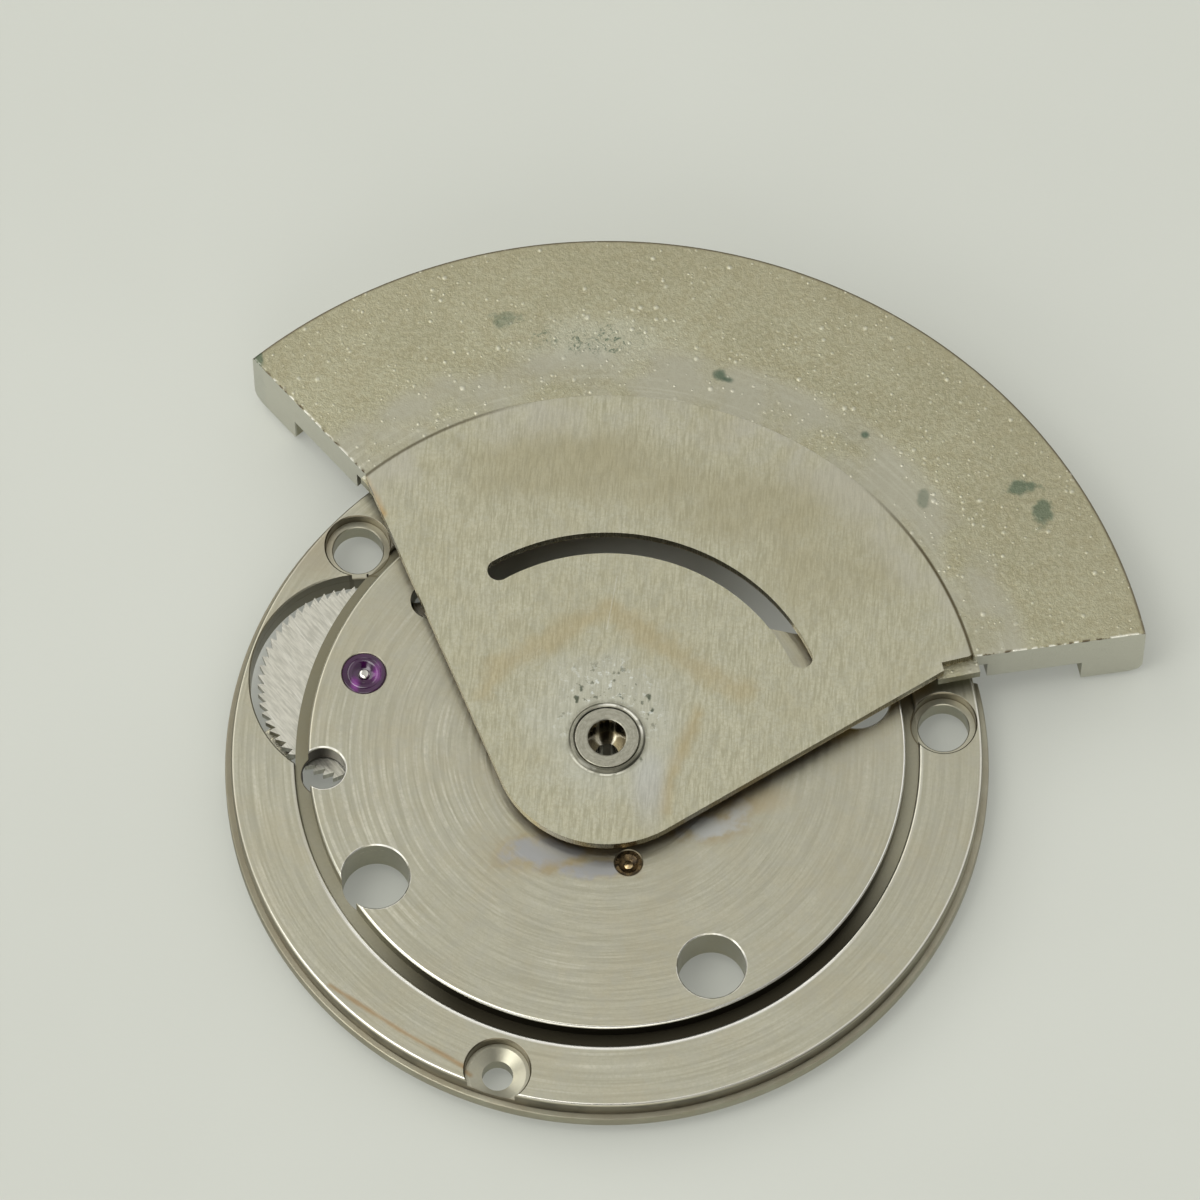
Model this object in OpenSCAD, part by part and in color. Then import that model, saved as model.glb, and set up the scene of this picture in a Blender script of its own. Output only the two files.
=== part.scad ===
// Automatic winding mechanism of a wrist watch, in millimetres.
// A weighted rotor turns on a hollow post. Its pinion drives a train under the
// frame plate, which ends in a wheel with saw teeth and an output pinion.
// Z = 0 is the underside of the lower bridge and the rotor turns about Z.

/* [Frame plate] */
// Radius of the upper part of the outer ring
ring_r = 8.73; // [8.5:0.01:8.8]
// How far the skirt below stands out past the ring
skirt_w = 0.15; // [0.05:0.01:0.2]
// Height of the skirt
skirt_h = 0.35; // [0.2:0.01:0.5]
// Height of the ring above the skirt
ring_h = 0.48; // [0.4:0.01:0.6]
// Radius of the raised disc
disc_r = 6.93; // [6.8:0.01:7]
// Rise of the disc above the ring
disc_rise = 0.3; // [0.1:0.01:0.4]
// Width of the groove between disc and ring
groove_w = 0.31; // [0.2:0.01:0.4]
// Depth of the groove below the ring's top
groove_d = 0.14; // [0.05:0.01:0.2]
// Thickness of the disc over the wheels
disc_t = 0.43; // [0.35:0.01:0.45]
// Thickness of the groove floor over the wheel pocket
band_t = 0.14; // [0.08:0.01:0.15]
// Polished chamfer on the turned edges
edge_c = 0.05; // [0.02:0.01:0.08]

/* [Balance opening] */
// Left wall of the opening
bite_x = -2.95; // [-3.1:0.05:-2.6]
// Inner wall of the opening
bite_y = 3.62; // [3.4:0.01:3.8]
// Where the inner wall turns towards the right
bite_knee = 1.2; // [0.5:0.1:2]
// Fall of the wall to the right of the knee, in degrees
bite_fall = 12.3; // [10:0.1:14]
// Lean of the left wall, in degrees
bite_lean = 3; // [0:0.5:5]
// Radius of the milled inner corner
bite_fillet = 0.6; // [0.3:0.05:1]

/* [Holes in the plate] */
// Distance of the left screw hole from the rotor axis
hole_a_at = 7.9; // [7.8:0.01:7.92]
// Angle of the left screw hole
hole_a_ang = 137.6; // [136.5:0.1:138.5]
// Distance of the right screw hole from the rotor axis
hole_b_at = 7.87; // [7.8:0.01:7.92]
// Angle of the right screw hole
hole_b_ang = 5.8; // [4:0.1:6.5]
// Distance of the front screw hole from the rotor axis
hole_c_at = 8.22; // [8.1:0.01:8.25]
// Angle of the front screw hole
hole_c_ang = 252.2; // [248:0.1:256]
// Radius of the three screw head seats
seat_r = 0.755; // [0.7:0.005:0.78]
// Depth of the three screw head seats
seat_d = 0.3; // [0.2:0.01:0.4]
// Radius of the left and right screw holes
hole_ab_r = 0.59; // [0.4:0.01:0.62]
// Radius of the front screw hole
hole_c_r = 0.36; // [0.3:0.01:0.45]
// Depth of the dish around the front screw hole
dish_d = 0.12; // [0.05:0.01:0.15]
// Radius of the three round openings in the disc
port_r = 0.785; // [0.7:0.005:0.82]
// Distance of the left opening from the rotor axis
port_d_at = 6.21; // [6.1:0.01:6.3]
// Angle of the left opening
port_d_ang = 210.8; // [210:0.1:213]
// Distance of the front opening from the rotor axis
port_e_at = 5.91; // [5.8:0.01:6]
// Angle of the front opening
port_e_ang = 294; // [292:0.1:298]
// Distance of the right opening from the rotor axis
port_f_at = 5.96; // [5.8:0.01:6]
// Angle of the right opening
port_f_ang = 12.8; // [10:0.1:14]
// Radius of the sight hole at the edge of the saw wheel
sight_g_r = 0.515; // [0.45:0.005:0.55]
// Angle of that sight hole about the saw wheel
sight_g_ang = 248.9; // [247:0.1:251]
// Radius of the sight hole over the click
sight_h_r = 0.44; // [0.4:0.01:0.5]
// Angle of that sight hole about the saw wheel
sight_h_ang = 50.6; // [48:0.1:52]

/* [Rotor] */
// Radius of the rotor
rotor_r = 12.8; // [12.4:0.05:13.2]
// Gap from the disc to the rotor sheet
rotor_gap = 0.41; // [0.38:0.01:0.5]
// Thickness of the rotor sheet
sheet_t = 0.26; // [0.2:0.01:0.32]
// Radius of the seam between sheet and weight
seam_r = 8.75; // [8.6:0.01:8.8]
// Radius of the sheet's round end at the hub
hub_end_r = 2.65; // [2.4:0.05:2.9]
// Angle of the sheet's right corner
sheet_a0 = 14; // [13:0.1:15]
// Angle of the sheet's left corner
sheet_a1 = 130.2; // [129:0.1:131]
// Radius of the middle of the slot
slot_r = 4.95; // [4.8:0.01:5.1]
// Width of the slot
slot_w = 0.53; // [0.4:0.01:0.7]
// Angle of the slot's right end
slot_a0 = 24.2; // [22:0.1:27]
// Angle of the slot's left end
slot_a1 = 120.6; // [118:0.1:123]
// Angle of the weight's right outer corner
rim_a0 = 11.9; // [11:0.1:13]
// Angle of the weight's left outer corner
rim_a1 = 130.6; // [130:0.1:132]
// Slant of the weight's right end face
rim_skew0 = 3.5; // [0:0.1:5]
// Slant of the weight's left end face
rim_skew1 = 1.2; // [0:0.1:4]
// Depth of the weight's outer band
rim_deep = 2.08; // [1.9:0.01:2.2]
// Depth of the weight's inner band
rim_thin = 1.22; // [1.1:0.01:1.3]
// Width of the weight's outer band
rim_band = 1.45; // [1.2:0.05:1.7]
// Inner radius of the weight's inner band
rim_in_r = 9.1; // [9.05:0.01:9.3]
// Chamfer on the weight's lower outer edge
rim_c = 0.3; // [0.1:0.02:0.5]
// Inner radius of the lip under the sheet
lip_r = 7.85; // [7.7:0.05:8.1]
// Thickness of the lip under the sheet
lip_t = 0.27; // [0.2:0.01:0.3]
// Angle where the lip starts on the right
lip_a0 = 11.6; // [11.2:0.1:12.5]

/* [Hub and post] */
// Radius of the post's shaft
post_r = 0.6; // [0.59:0.01:0.61]
// Radius of the post's head
head_r = 0.75; // [0.7:0.01:0.77]
// Thickness of the post's head
head_t = 0.12; // [0.08:0.01:0.16]
// Radius of the post's foot in the lower bridge
foot_r = 0.59; // [0.57:0.01:0.59]
// Radius of the post's upper bore
bore_r = 0.44; // [0.42:0.01:0.44]
// Depth of the post's upper bore
bore_d = 1; // [0.8:0.05:1.2]
// Radius of the post's lower bore
low_bore_r = 0.27; // [0.25:0.01:0.28]
// Running clearance of the rotor on the post
run_fit = 0.02; // [0.015:0.005:0.03]
// Wall of the rotor's bush around the post
bush_w = 0.16; // [0.14:0.01:0.18]
// Radius of the bush where it passes the sheet
neck_r = 0.86; // [0.84:0.01:0.88]
// Radius of the riveted ring over the sheet
rivet_r = 0.89; // [0.885:0.005:0.95]
// Height of the riveted ring over the sheet
rivet_h = 0.06; // [0.04:0.01:0.1]
// Radius of the bush's collar under the sheet
collar_r = 1.25; // [1.15:0.05:1.4]
// Thickness of the bush's collar
collar_t = 0.2; // [0.15:0.01:0.25]
// Thickness of the washer under the bush
washer_t = 0.04; // [0.03:0.005:0.045]
// Outer radius of the washer
washer_r = 0.9; // [0.8:0.05:1]

/* [Train] */
// Teeth of the rotor pinion
n_rotor = 20; // [19:1:20]
// Teeth of the reverser wheel
n_rev = 38; // [37:1:38]
// Tooth module of the rotor pinion
mod_rotor = 0.0992; // [0.098:0.0001:0.1]
// Direction of the reverser from the rotor axis
rev_ang = 279.93; // [278:0.01:281]
// Teeth of the reverser gear
n_gear = 26; // [26:1:27]
// Teeth of the intermediate wheel
n_inter = 32; // [31:1:32]
// Teeth of the intermediate pinion
n_ipin = 12; // [12:1:12]
// Teeth of the reduction wheel
n_red = 38; // [37:1:38]
// Tooth module of the middle train
mod_mid = 0.1; // [0.099:0.001:0.1]
// Teeth of the reduction pinion
n_rpin = 16; // [15:1:16]
// Teeth of the saw wheel
n_saw = 64; // [63:1:64]
// Tooth module of the saw wheel
mod_saw = 0.075625; // [0.075:0.0001:0.0758]
// Depth of the saw teeth
saw_d = 0.16; // [0.14:0.01:0.17]
// Height of the saw wheel's teeth outside the pitch circle
saw_add = 0.075; // [0.07:0.005:0.08]
// Height of its pinion's teeth outside the pitch circle
rpin_add = 0.045; // [0.04:0.005:0.05]
// Distance of the saw wheel from the rotor axis
saw_at = 5.972; // [5.94:0.001:6]
// Direction of the saw wheel from the rotor axis
saw_ang = 161.1; // [160.5:0.1:161.5]
// Direction of the reduction pinion from the saw wheel
red_ang = -45; // [-46:0.5:-44]
// Teeth of the output pinion
n_out = 10; // [10:1:11]
// Thickness of the output pinion
out_t = 0.16; // [0.12:0.01:0.17]
// Thickness of the wheels in the lower layer
wheel_t = 0.18; // [0.15:0.01:0.19]
// Thickness of the saw wheel
saw_t = 0.22; // [0.18:0.01:0.22]
// Thickness of the reverser gear
gear_t = 0.17; // [0.15:0.01:0.18]
// Thickness of the intermediate wheel
inter_t = 0.13; // [0.11:0.01:0.14]
// Gap between neighbouring layers
layer_gap = 0.05; // [0.04:0.005:0.05]
// Gap from a wheel's teeth to the recess wall
wall_gap = 0.12; // [0.1:0.01:0.14]
// Gap from the saw teeth to the pocket wall
pocket_gap = 0.17; // [0.15:0.01:0.18]
// Radius of the reverser arbor
arbor_r = 0.25; // [0.22:0.01:0.28]
// Radius of the reverser arbor's pivots
pivot_r = 0.1; // [0.08:0.01:0.12]
// Clearance of pivots and studs in their holes
pivot_fit = 0.015; // [0.01:0.001:0.02]
// Radius of the studs that carry the two middle wheels
stud_r = 0.2; // [0.18:0.01:0.21]
// Radius of the pinion hubs in the middle wheels
hub_r = 0.38; // [0.36:0.01:0.4]
// Radius of the saw wheel's arbor
saw_arbor_r = 0.28; // [0.25:0.01:0.3]
// Radius of the saw wheel's pivots
saw_pivot_r = 0.12; // [0.1:0.01:0.14]
// Radius of the flange under the saw wheel
flange_r = 0.5; // [0.45:0.01:0.6]

/* [Reverser pawls] */
// Teeth of the reverser ratchet
n_rat = 14; // [14:1:14]
// Tip radius of the reverser ratchet
rat_r = 0.78; // [0.74:0.01:0.8]
// Depth of its teeth
rat_d = 0.13; // [0.1:0.01:0.14]
// Distance of the pawl pins from the reverser axis
pin_at = 1.3; // [1.28:0.01:1.34]
// Radius of the pawl pins
pin_r = 0.1; // [0.08:0.005:0.11]
// Radius of a pawl's round end
pawl_end_r = 0.3; // [0.28:0.01:0.32]
// Width of a pawl's arm
pawl_w = 0.22; // [0.2:0.01:0.24]
// Thickness of the pawls
pawl_t = 0.2; // [0.18:0.01:0.21]

/* [Click] */
// Distance of the click's stud from the saw wheel axis
click_at = 3.12; // [3.1:0.01:3.16]
// How far the click's nose reaches below its arm
nose_h = 0.09; // [0.06:0.01:0.12]
// Gap from the saw teeth to the click's tip
tip_gap = 0.03; // [0.02:0.005:0.05]
// Width of the click's arm
click_w = 0.3; // [0.24:0.01:0.34]
// Radius of the click's round end
click_end_r = 0.36; // [0.32:0.01:0.38]
// Radius of the click's stud
click_stud_r = 0.16; // [0.14:0.01:0.18]
// Radius of the click stud's head
click_head_r = 0.28; // [0.24:0.01:0.3]
// Distance of the spring's foot from the saw wheel axis
spring_at = 3.85; // [3.8:0.01:3.9]
// Direction of the spring's foot from the saw wheel
spring_ang = 60; // [59:0.1:61]
// Thickness of the spring blade
spring_t = 0.07; // [0.05:0.005:0.09]
// Gap from the spring blade to the click
spring_gap = 0.06; // [0.04:0.01:0.08]

/* [Bridge and bearings] */
// Thickness of the lower bridge
bridge_t = 0.45; // [0.42:0.01:0.5]
// Width of the bridge's arms
arm_w = 1.3; // [1.1:0.05:1.4]
// Width of the arm to the outer foot
tail_w = 0.8; // [0.7:0.05:0.9]
// Distance of the outer foot from the saw wheel axis
foot1_at = 3.2; // [3.18:0.01:3.24]
// Direction of the outer foot from the saw wheel
foot1_ang = 212; // [211:0.5:214]
// Front foot, left to right
foot2_x = 0.3; // [0.1:0.05:0.4]
// Front foot, front to back
foot2_y = -5.8; // [-5.9:0.05:-5.7]
// Right foot, left to right
foot3_x = 2.9; // [2.8:0.05:3]
// Right foot, front to back
foot3_y = 0.4; // [0.3:0.05:0.6]
// Radius of the bridge screws' shanks
screw_r = 0.2; // [0.15:0.01:0.22]
// Length of the bridge screws' shanks
screw_l = 0.75; // [0.6:0.01:0.8]
// Radius of the bridge screws' heads
screw_head_r = 0.38; // [0.34:0.01:0.4]
// Height of the bridge screws' heads
screw_head_t = 0.2; // [0.15:0.01:0.25]
// Radius of the steady pins
dowel_r = 0.17; // [0.14:0.01:0.18]
// Length of the steady pins
dowel_l = 0.9; // [0.8:0.01:1]
// Radius of the upper jewel
jewel_r = 0.515; // [0.5:0.005:0.53]
// Thickness of the jewels
jewel_t = 0.26; // [0.2:0.01:0.28]
// Radius of the lower jewel
low_jewel_r = 0.45; // [0.42:0.01:0.48]
// Thickness of the lower jewel
low_jewel_t = 0.2; // [0.16:0.01:0.22]
// Radius of the oil cup in the upper jewel
cup_r = 0.3; // [0.25:0.01:0.36]
// Depth of the oil cup
cup_d = 0.08; // [0.04:0.01:0.1]
// Outer radius of the reverser's bushes
brass_r = 0.315; // [0.28:0.005:0.34]
// Height of the upper bush
brass_t = 0.36; // [0.3:0.01:0.38]
// Height of the lower bush
low_brass_t = 0.4; // [0.34:0.01:0.42]
// Radius of the bridge's recess for the output pinion
mouth_r = 0.85; // [0.8:0.01:0.9]
// Direction in which that recess opens
mouth_ang = 120; // [110:1:130]

/* [Hidden] */
$fn = 96;
eps = 0.01;

function pol(r, a) = [r * cos(a), r * sin(a)];
function len2(v) = sqrt(v[0] * v[0] + v[1] * v[1]);
function dir2(v) = atan2(v[1], v[0]);

// Heights
plate_z = bridge_t;
ledge_z = plate_z + skirt_h;
ring_z = ledge_z + ring_h;
groove_z = ring_z - groove_d;
disc_z = ring_z + disc_rise;
ceil_z = disc_z - disc_t;
pocket_z = groove_z - band_t;
sheet_z = disc_z + rotor_gap;
top_z = sheet_z + sheet_t;
lip_z = sheet_z - lip_t;
low_z = plate_z + layer_gap;
low_top = low_z + wheel_t;
saw_z = low_top + layer_gap;
saw_top = saw_z + saw_t;
pawl_z = low_top + 0.02;
gear_z = pawl_z + pawl_t + 0.03;
inter_z = gear_z + (gear_t - inter_t) / 2;
hub_top = top_z + rivet_h;
head_z = hub_top - 0.01 - head_t;
skirt_r = ring_r + skirt_w;
far = 1.5 * rotor_r;
groove_r = disc_r + groove_w;

// Wheel centres, each set by its mesh
rev_d = mod_rotor * (n_rotor + n_rev) / 2;
rev_c = pol(rev_d, rev_ang);
saw_c = pol(saw_at, saw_ang);
red_d = mod_saw * (n_rpin + n_saw) / 2;
red_c = saw_c + pol(red_d, red_ang);
gear_d = mod_mid * (n_gear + n_inter) / 2;
ipin_d = mod_mid * (n_ipin + n_red) / 2;
span = rev_c - red_c;
span_l = len2(span);
span_k = (ipin_d * ipin_d + span_l * span_l - gear_d * gear_d) / (2 * ipin_d * span_l);
inter_c = red_c + pol(ipin_d, dir2(span) - acos(span_k));
gear_ang = dir2(inter_c - rev_c);
ipin_ang = dir2(red_c - inter_c);

// Radii that follow from the teeth
add_k = 0.82;
ded_k = 1.2;
rotor_pin_tip = mod_rotor * (n_rotor / 2 + add_k);
rev_tip = mod_rotor * (n_rev / 2 + add_k);
inter_tip = mod_mid * (n_inter / 2 + add_k);
red_tip = mod_mid * (n_red / 2 + add_k);
saw_tip = mod_saw * n_saw / 2 + saw_add;
rpin_tip = mod_saw * n_rpin / 2 + rpin_add;
pocket_r = saw_tip + pocket_gap;
tube_r = post_r + run_fit + bush_w;

// Holes, feet and pins
hole_a = pol(hole_a_at, hole_a_ang);
hole_b = pol(hole_b_at, hole_b_ang);
hole_c = pol(hole_c_at, hole_c_ang);
port_d = pol(port_d_at, port_d_ang);
port_e = pol(port_e_at, port_e_ang);
port_f = pol(port_f_at, port_f_ang);
sight_g = saw_c + pol(saw_tip + 0.066, sight_g_ang);
sight_h = saw_c + pol(saw_tip - 0.1, sight_h_ang);
foot1 = saw_c + pol(foot1_at, foot1_ang);
foot2 = [foot2_x, foot2_y];
foot3 = [foot3_x, foot3_y];
dowel1 = [foot3_x - 1, foot3_y - 0.15];
dowel2 = [foot2_x - 1.05, foot2_y + 0.2];
feet = [foot1, foot2, foot3];
dowels = [dowel1, dowel2];

// Click, which stands over a saw tooth counted from the reduction pinion
click_tooth = 22;
arm_at = saw_tip + tip_gap + nose_h + click_w / 2;
click_l = sqrt(click_at * click_at - arm_at * arm_at);
nose_ang = red_ang + click_tooth * 360 / n_saw - 0.6;
click_ang = nose_ang - acos(arm_at / click_at) - 0.7;
click_dir = click_ang + acos(arm_at / click_at) + 90;
click_c = saw_c + pol(click_at, click_ang);
click_end = click_c + pol(click_l, click_dir);
spring_c = saw_c + pol(spring_at, spring_ang);
blade_end = click_c + pol(click_l * 0.72, click_dir)
  + pol(click_w / 2 + spring_gap + spring_t / 2, click_dir - 90);

// Pawls
pawl_arm_at = rat_r + 0.02 + pawl_w / 2;
pawl_lean = asin(pawl_arm_at / pin_at);
pawl_l = sqrt(pin_at * pin_at - pawl_arm_at * pawl_arm_at);
pawl_turns = [45, 225];
rat_turn = pawl_turns[0] + 90 - pawl_lean + 3.5;

nickel = [0.7, 0.68, 0.6];
steel = [0.62, 0.62, 0.6];
brass = [0.8, 0.66, 0.36];
ruby = [0.5, 0.12, 0.36];

// Shared shapes

module at(c, z) {
  translate([c[0], c[1], z]) children();
}

// A straight bar with round ends
module bar(a, b, w) {
  v = b - a;
  translate(a) circle(r = w / 2);
  translate(b) circle(r = w / 2);
  translate(a) rotate(dir2(v)) translate([0, eps - w / 2]) square([len2(v), w - 2 * eps]);
}

// Six corners to a tooth, with a tooth centred on the X axis
tooth_form = [[-ded_k, -0.3], [0, -0.215], [add_k, -0.1], [add_k, 0.1], [0, 0.215], [-ded_k, 0.3]];
function tooth_points(n, m) = [
  for (i = [0 : n - 1], k = tooth_form) pol(m * (n / 2 + k[0]), (i + k[1]) * 360 / n)
];

// Steep faces look clockwise and the first stands on the X axis
function saw_points(n, tip, d) = [
  for (i = [0 : n - 1], k = [[0, 0], [d, 0.03], [d, 0.09]])
    pol(tip - d + k[0], (i + k[1]) * 360 / n)
];

module toothed(n, m, t, turn, r) {
  linear_extrude(t) difference() {
    rotate(turn) polygon(tooth_points(n, m));
    circle(r = r);
  }
}

module toothed_saw(n, tip, d, t, turn, r) {
  linear_extrude(t) difference() {
    rotate(turn) polygon(saw_points(n, tip, d));
    circle(r = r);
  }
}

module round_windows(count, at_r, r, t) {
  for (i = [0 : count - 1])
    rotate(i * 360 / count) translate([at_r, 0, -eps]) cylinder(r = r, h = t + 2 * eps);
}

// Frame plate

module bite_shape() {
  difference() {
    polygon([[bite_x, bite_y], [bite_knee, bite_y],
      [bite_knee + far * cos(bite_fall), bite_y - far * sin(bite_fall)], [far, far],
      [bite_x - far * sin(bite_lean), bite_y + far * cos(bite_lean)]]);
    translate([bite_x, bite_y]) difference() {
      translate([-bite_fillet, -bite_fillet]) square(2 * bite_fillet);
      translate([bite_fillet, bite_fillet]) circle(r = bite_fillet);
    }
  }
}

module frame_body() {
  rotate_extrude() polygon([[0, plate_z], [skirt_r, plate_z], [skirt_r, ledge_z], [ring_r, ledge_z],
    [ring_r, ring_z - edge_c], [ring_r - edge_c, ring_z], [groove_r + edge_c, ring_z],
    [groove_r, ring_z - edge_c], [groove_r, groove_z], [disc_r, groove_z], [disc_r, disc_z - edge_c],
    [disc_r - edge_c, disc_z], [0, disc_z]]);
}

module screw_seat(c, r) {
  at(c, ring_z - seat_d) cylinder(r = seat_r, h = seat_d + eps);
  at(c, plate_z - eps) cylinder(r = r, h = ring_z - plate_z);
}

module through(c, r) {
  at(c, plate_z - eps) cylinder(r = r, h = disc_z - plate_z + 2 * eps);
}

module recess(c, r, top) {
  at(c, plate_z - eps) cylinder(r = r, h = top - plate_z + eps);
}

module click_recess_shape() {
  bar(click_c, click_end, click_w + 0.3);
  bar(spring_c, blade_end, 0.5);
  translate(click_c) circle(r = click_end_r + 0.1);
  polygon([click_c, click_end, blade_end, spring_c]);
}

module frame_plate() {
  color(nickel) difference() {
    frame_body();
    translate([0, 0, plate_z - eps]) linear_extrude(disc_z - plate_z + 2 * eps) bite_shape();
    screw_seat(hole_a, hole_ab_r);
    screw_seat(hole_b, hole_ab_r);
    screw_seat(hole_c, hole_c_r);
    at(hole_c, ring_z - seat_d - dish_d) cylinder(r1 = hole_c_r, r2 = seat_r - 0.1, h = dish_d + eps);
    through(port_d, port_r);
    through(port_e, port_r);
    through(port_f, port_r);
    through(sight_g, sight_g_r);
    through(sight_h, sight_h_r);
    through([0, 0], rotor_pin_tip + wall_gap);
    recess(rev_c, rev_tip + wall_gap, ceil_z);
    recess(inter_c, inter_tip + wall_gap, ceil_z);
    recess(red_c, red_tip + wall_gap, ceil_z);
    recess(saw_c, pocket_r, pocket_z);
    translate([0, 0, pocket_z - eps]) linear_extrude(ring_z - pocket_z + 2 * eps) difference() {
      translate(saw_c) circle(r = pocket_r);
      circle(r = groove_r);
    }
    translate([0, 0, plate_z - eps]) linear_extrude(pocket_z - plate_z + eps) click_recess_shape();
    recess(click_c, click_stud_r, pocket_z + 0.36);
    recess(spring_c, 2 * spring_t, pocket_z + 0.3);
    through(saw_c, saw_arbor_r + wall_gap);
    at(saw_c, disc_z - jewel_t) cylinder(r = jewel_r, h = jewel_t + eps);
    through(rev_c, brass_r);
    for (c = feet) recess(c, screw_r, screw_head_t + screw_l + 0.02);
    for (c = dowels) recess(c, dowel_r, dowel_l + 0.05);
  }
}

// Lower bridge

module bridge_shape() {
  bar([0, 0], rev_c, arm_w + 0.5);
  bar(rev_c, inter_c, arm_w);
  bar(inter_c, red_c, arm_w);
  bar(red_c, saw_c, arm_w + 0.4);
  bar(red_c, [0, 0], arm_w + 0.5);
  bar(rev_c, red_c, 2.4);
  bar(rev_c, foot2, arm_w);
  bar([0, 0], foot3, arm_w);
  bar(saw_c, foot1, tail_w);
  translate(foot1) circle(r = screw_head_r + 0.1);
  bar(foot2, dowel2, 0.9);
  translate(saw_c) circle(r = 1.25);
}

module lower_bridge() {
  color(nickel) difference() {
    linear_extrude(bridge_t) bridge_shape();
    translate([0, 0, -eps]) cylinder(r = foot_r, h = bridge_t + 2 * eps);
    at(rev_c, bridge_t - low_brass_t) cylinder(r = brass_r, h = low_brass_t + eps);
    at(inter_c, -eps) cylinder(r = stud_r, h = bridge_t + 2 * eps);
    at(red_c, -eps) cylinder(r = stud_r, h = bridge_t + 2 * eps);
    at(saw_c, bridge_t - low_jewel_t) cylinder(r = low_jewel_r, h = low_jewel_t + eps);
    at(saw_c, -eps) cylinder(r = low_jewel_r - 0.1, h = bridge_t);
    translate([0, 0, -eps]) linear_extrude(bridge_t - low_jewel_t - layer_gap + eps)
      bar(saw_c, saw_c + pol(2, mouth_ang), 2 * mouth_r);
    for (c = feet) {
      at(c, -eps) cylinder(r = screw_head_r + 0.03, h = screw_head_t + eps);
      at(c, -eps) cylinder(r = screw_r + 0.02, h = bridge_t + 2 * eps);
    }
    for (c = dowels) at(c, -eps) cylinder(r = dowel_r, h = bridge_t + 2 * eps);
  }
}

// The headed post is hollow, and its foot is riveted into the bridge
module centre_post() {
  color(steel) rotate_extrude() polygon([[low_bore_r, 0], [foot_r, 0], [foot_r, bridge_t],
    [post_r, bridge_t], [post_r, head_z], [head_r, head_z], [head_r, head_z + head_t - 0.02],
    [head_r - 0.02, head_z + head_t], [bore_r + 0.02, head_z + head_t],
    [bore_r, head_z + head_t - 0.02], [bore_r, head_z + head_t - bore_d],
    [low_bore_r, head_z + head_t - bore_d]]);
}

module rotor_washer() {
  color(brass) translate([0, 0, bridge_t]) difference() {
    cylinder(r = washer_r, h = washer_t);
    translate([0, 0, -eps]) cylinder(r = post_r, h = washer_t + 2 * eps);
  }
}

module upper_jewel() {
  hole = saw_pivot_r + pivot_fit;
  color(ruby) at(saw_c, disc_z - jewel_t) rotate_extrude() polygon([[hole, 0], [jewel_r, 0],
    [jewel_r, jewel_t - 0.03], [jewel_r - 0.03, jewel_t], [cup_r, jewel_t],
    [hole, jewel_t - cup_d]]);
}

module lower_jewel() {
  hole = saw_pivot_r + pivot_fit;
  color(ruby) at(saw_c, bridge_t - low_jewel_t) difference() {
    cylinder(r = low_jewel_r, h = low_jewel_t - 0.02);
    translate([0, 0, -eps]) cylinder(r = hole, h = low_jewel_t + 2 * eps);
  }
}

module upper_bush() {
  hole = pivot_r + pivot_fit;
  color(brass) at(rev_c, ceil_z) rotate_extrude() polygon([[hole, 0], [brass_r, 0],
    [brass_r, brass_t], [brass_r - 0.08, brass_t], [hole, brass_t - 0.1]]);
}

module lower_bush() {
  hole = pivot_r + pivot_fit;
  color(brass) at(rev_c, bridge_t - low_brass_t) difference() {
    cylinder(r = brass_r, h = low_brass_t);
    translate([0, 0, -eps]) cylinder(r = hole, h = low_brass_t + 2 * eps);
  }
}

module train_stud(c) {
  color(steel) at(c, 0) rotate_extrude() polygon([[0, 0.02], [stud_r, 0.02],
    [stud_r, ceil_z - 0.06], [stud_r - 0.03, ceil_z - 0.03], [0, ceil_z - 0.03]]);
}

module inter_stud() {
  train_stud(inter_c);
}

module reduction_stud() {
  train_stud(red_c);
}

module bridge_screw(c, turn) {
  color(steel) at(c, 0) difference() {
    union() {
      cylinder(r = screw_head_r, h = screw_head_t);
      translate([0, 0, screw_head_t]) cylinder(r = screw_r, h = screw_l);
    }
    rotate(turn) translate([-1, -0.045, -eps]) cube([2, 0.09, 0.09 + eps]);
  }
}

module bridge_screw_outer() {
  bridge_screw(foot1, 35);
}

module bridge_screw_front() {
  bridge_screw(foot2, 80);
}

module bridge_screw_right() {
  bridge_screw(foot3, 10);
}

module steady_pin(c) {
  color(steel) at(c, 0.03) cylinder(r = dowel_r, h = dowel_l);
}

module steady_pin_right() {
  steady_pin(dowel1);
}

module steady_pin_front() {
  steady_pin(dowel2);
}

// Click, its stud and its spring

module click_stud() {
  color(steel) at(click_c, saw_z - 0.14) {
    cylinder(r = click_head_r, h = 0.12);
    cylinder(r = click_stud_r, h = pocket_z + 0.36 - saw_z + 0.14);
  }
}

module click() {
  l = click_l;
  w = click_w / 2;
  color(steel) at(click_c, saw_z) linear_extrude(saw_t - 0.02) difference() {
    union() {
      circle(r = click_end_r);
      rotate(click_dir) polygon([[0, -w], [l - 0.12, -w], [l + 0.02, -w + 0.1], [l + 0.03, w + nose_h],
        [l - 0.03, w + nose_h], [l - 0.25, w], [0, w]]);
    }
    circle(r = click_stud_r + pivot_fit);
  }
}

module click_spring() {
  color(steel) {
    at(spring_c, saw_z + 0.02) cylinder(r = 2 * spring_t, h = pocket_z + 0.28 - saw_z);
    translate([0, 0, saw_z + 0.02]) linear_extrude(saw_t - 0.06) bar(spring_c, blade_end, spring_t);
  }
}

// Rotor

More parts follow.
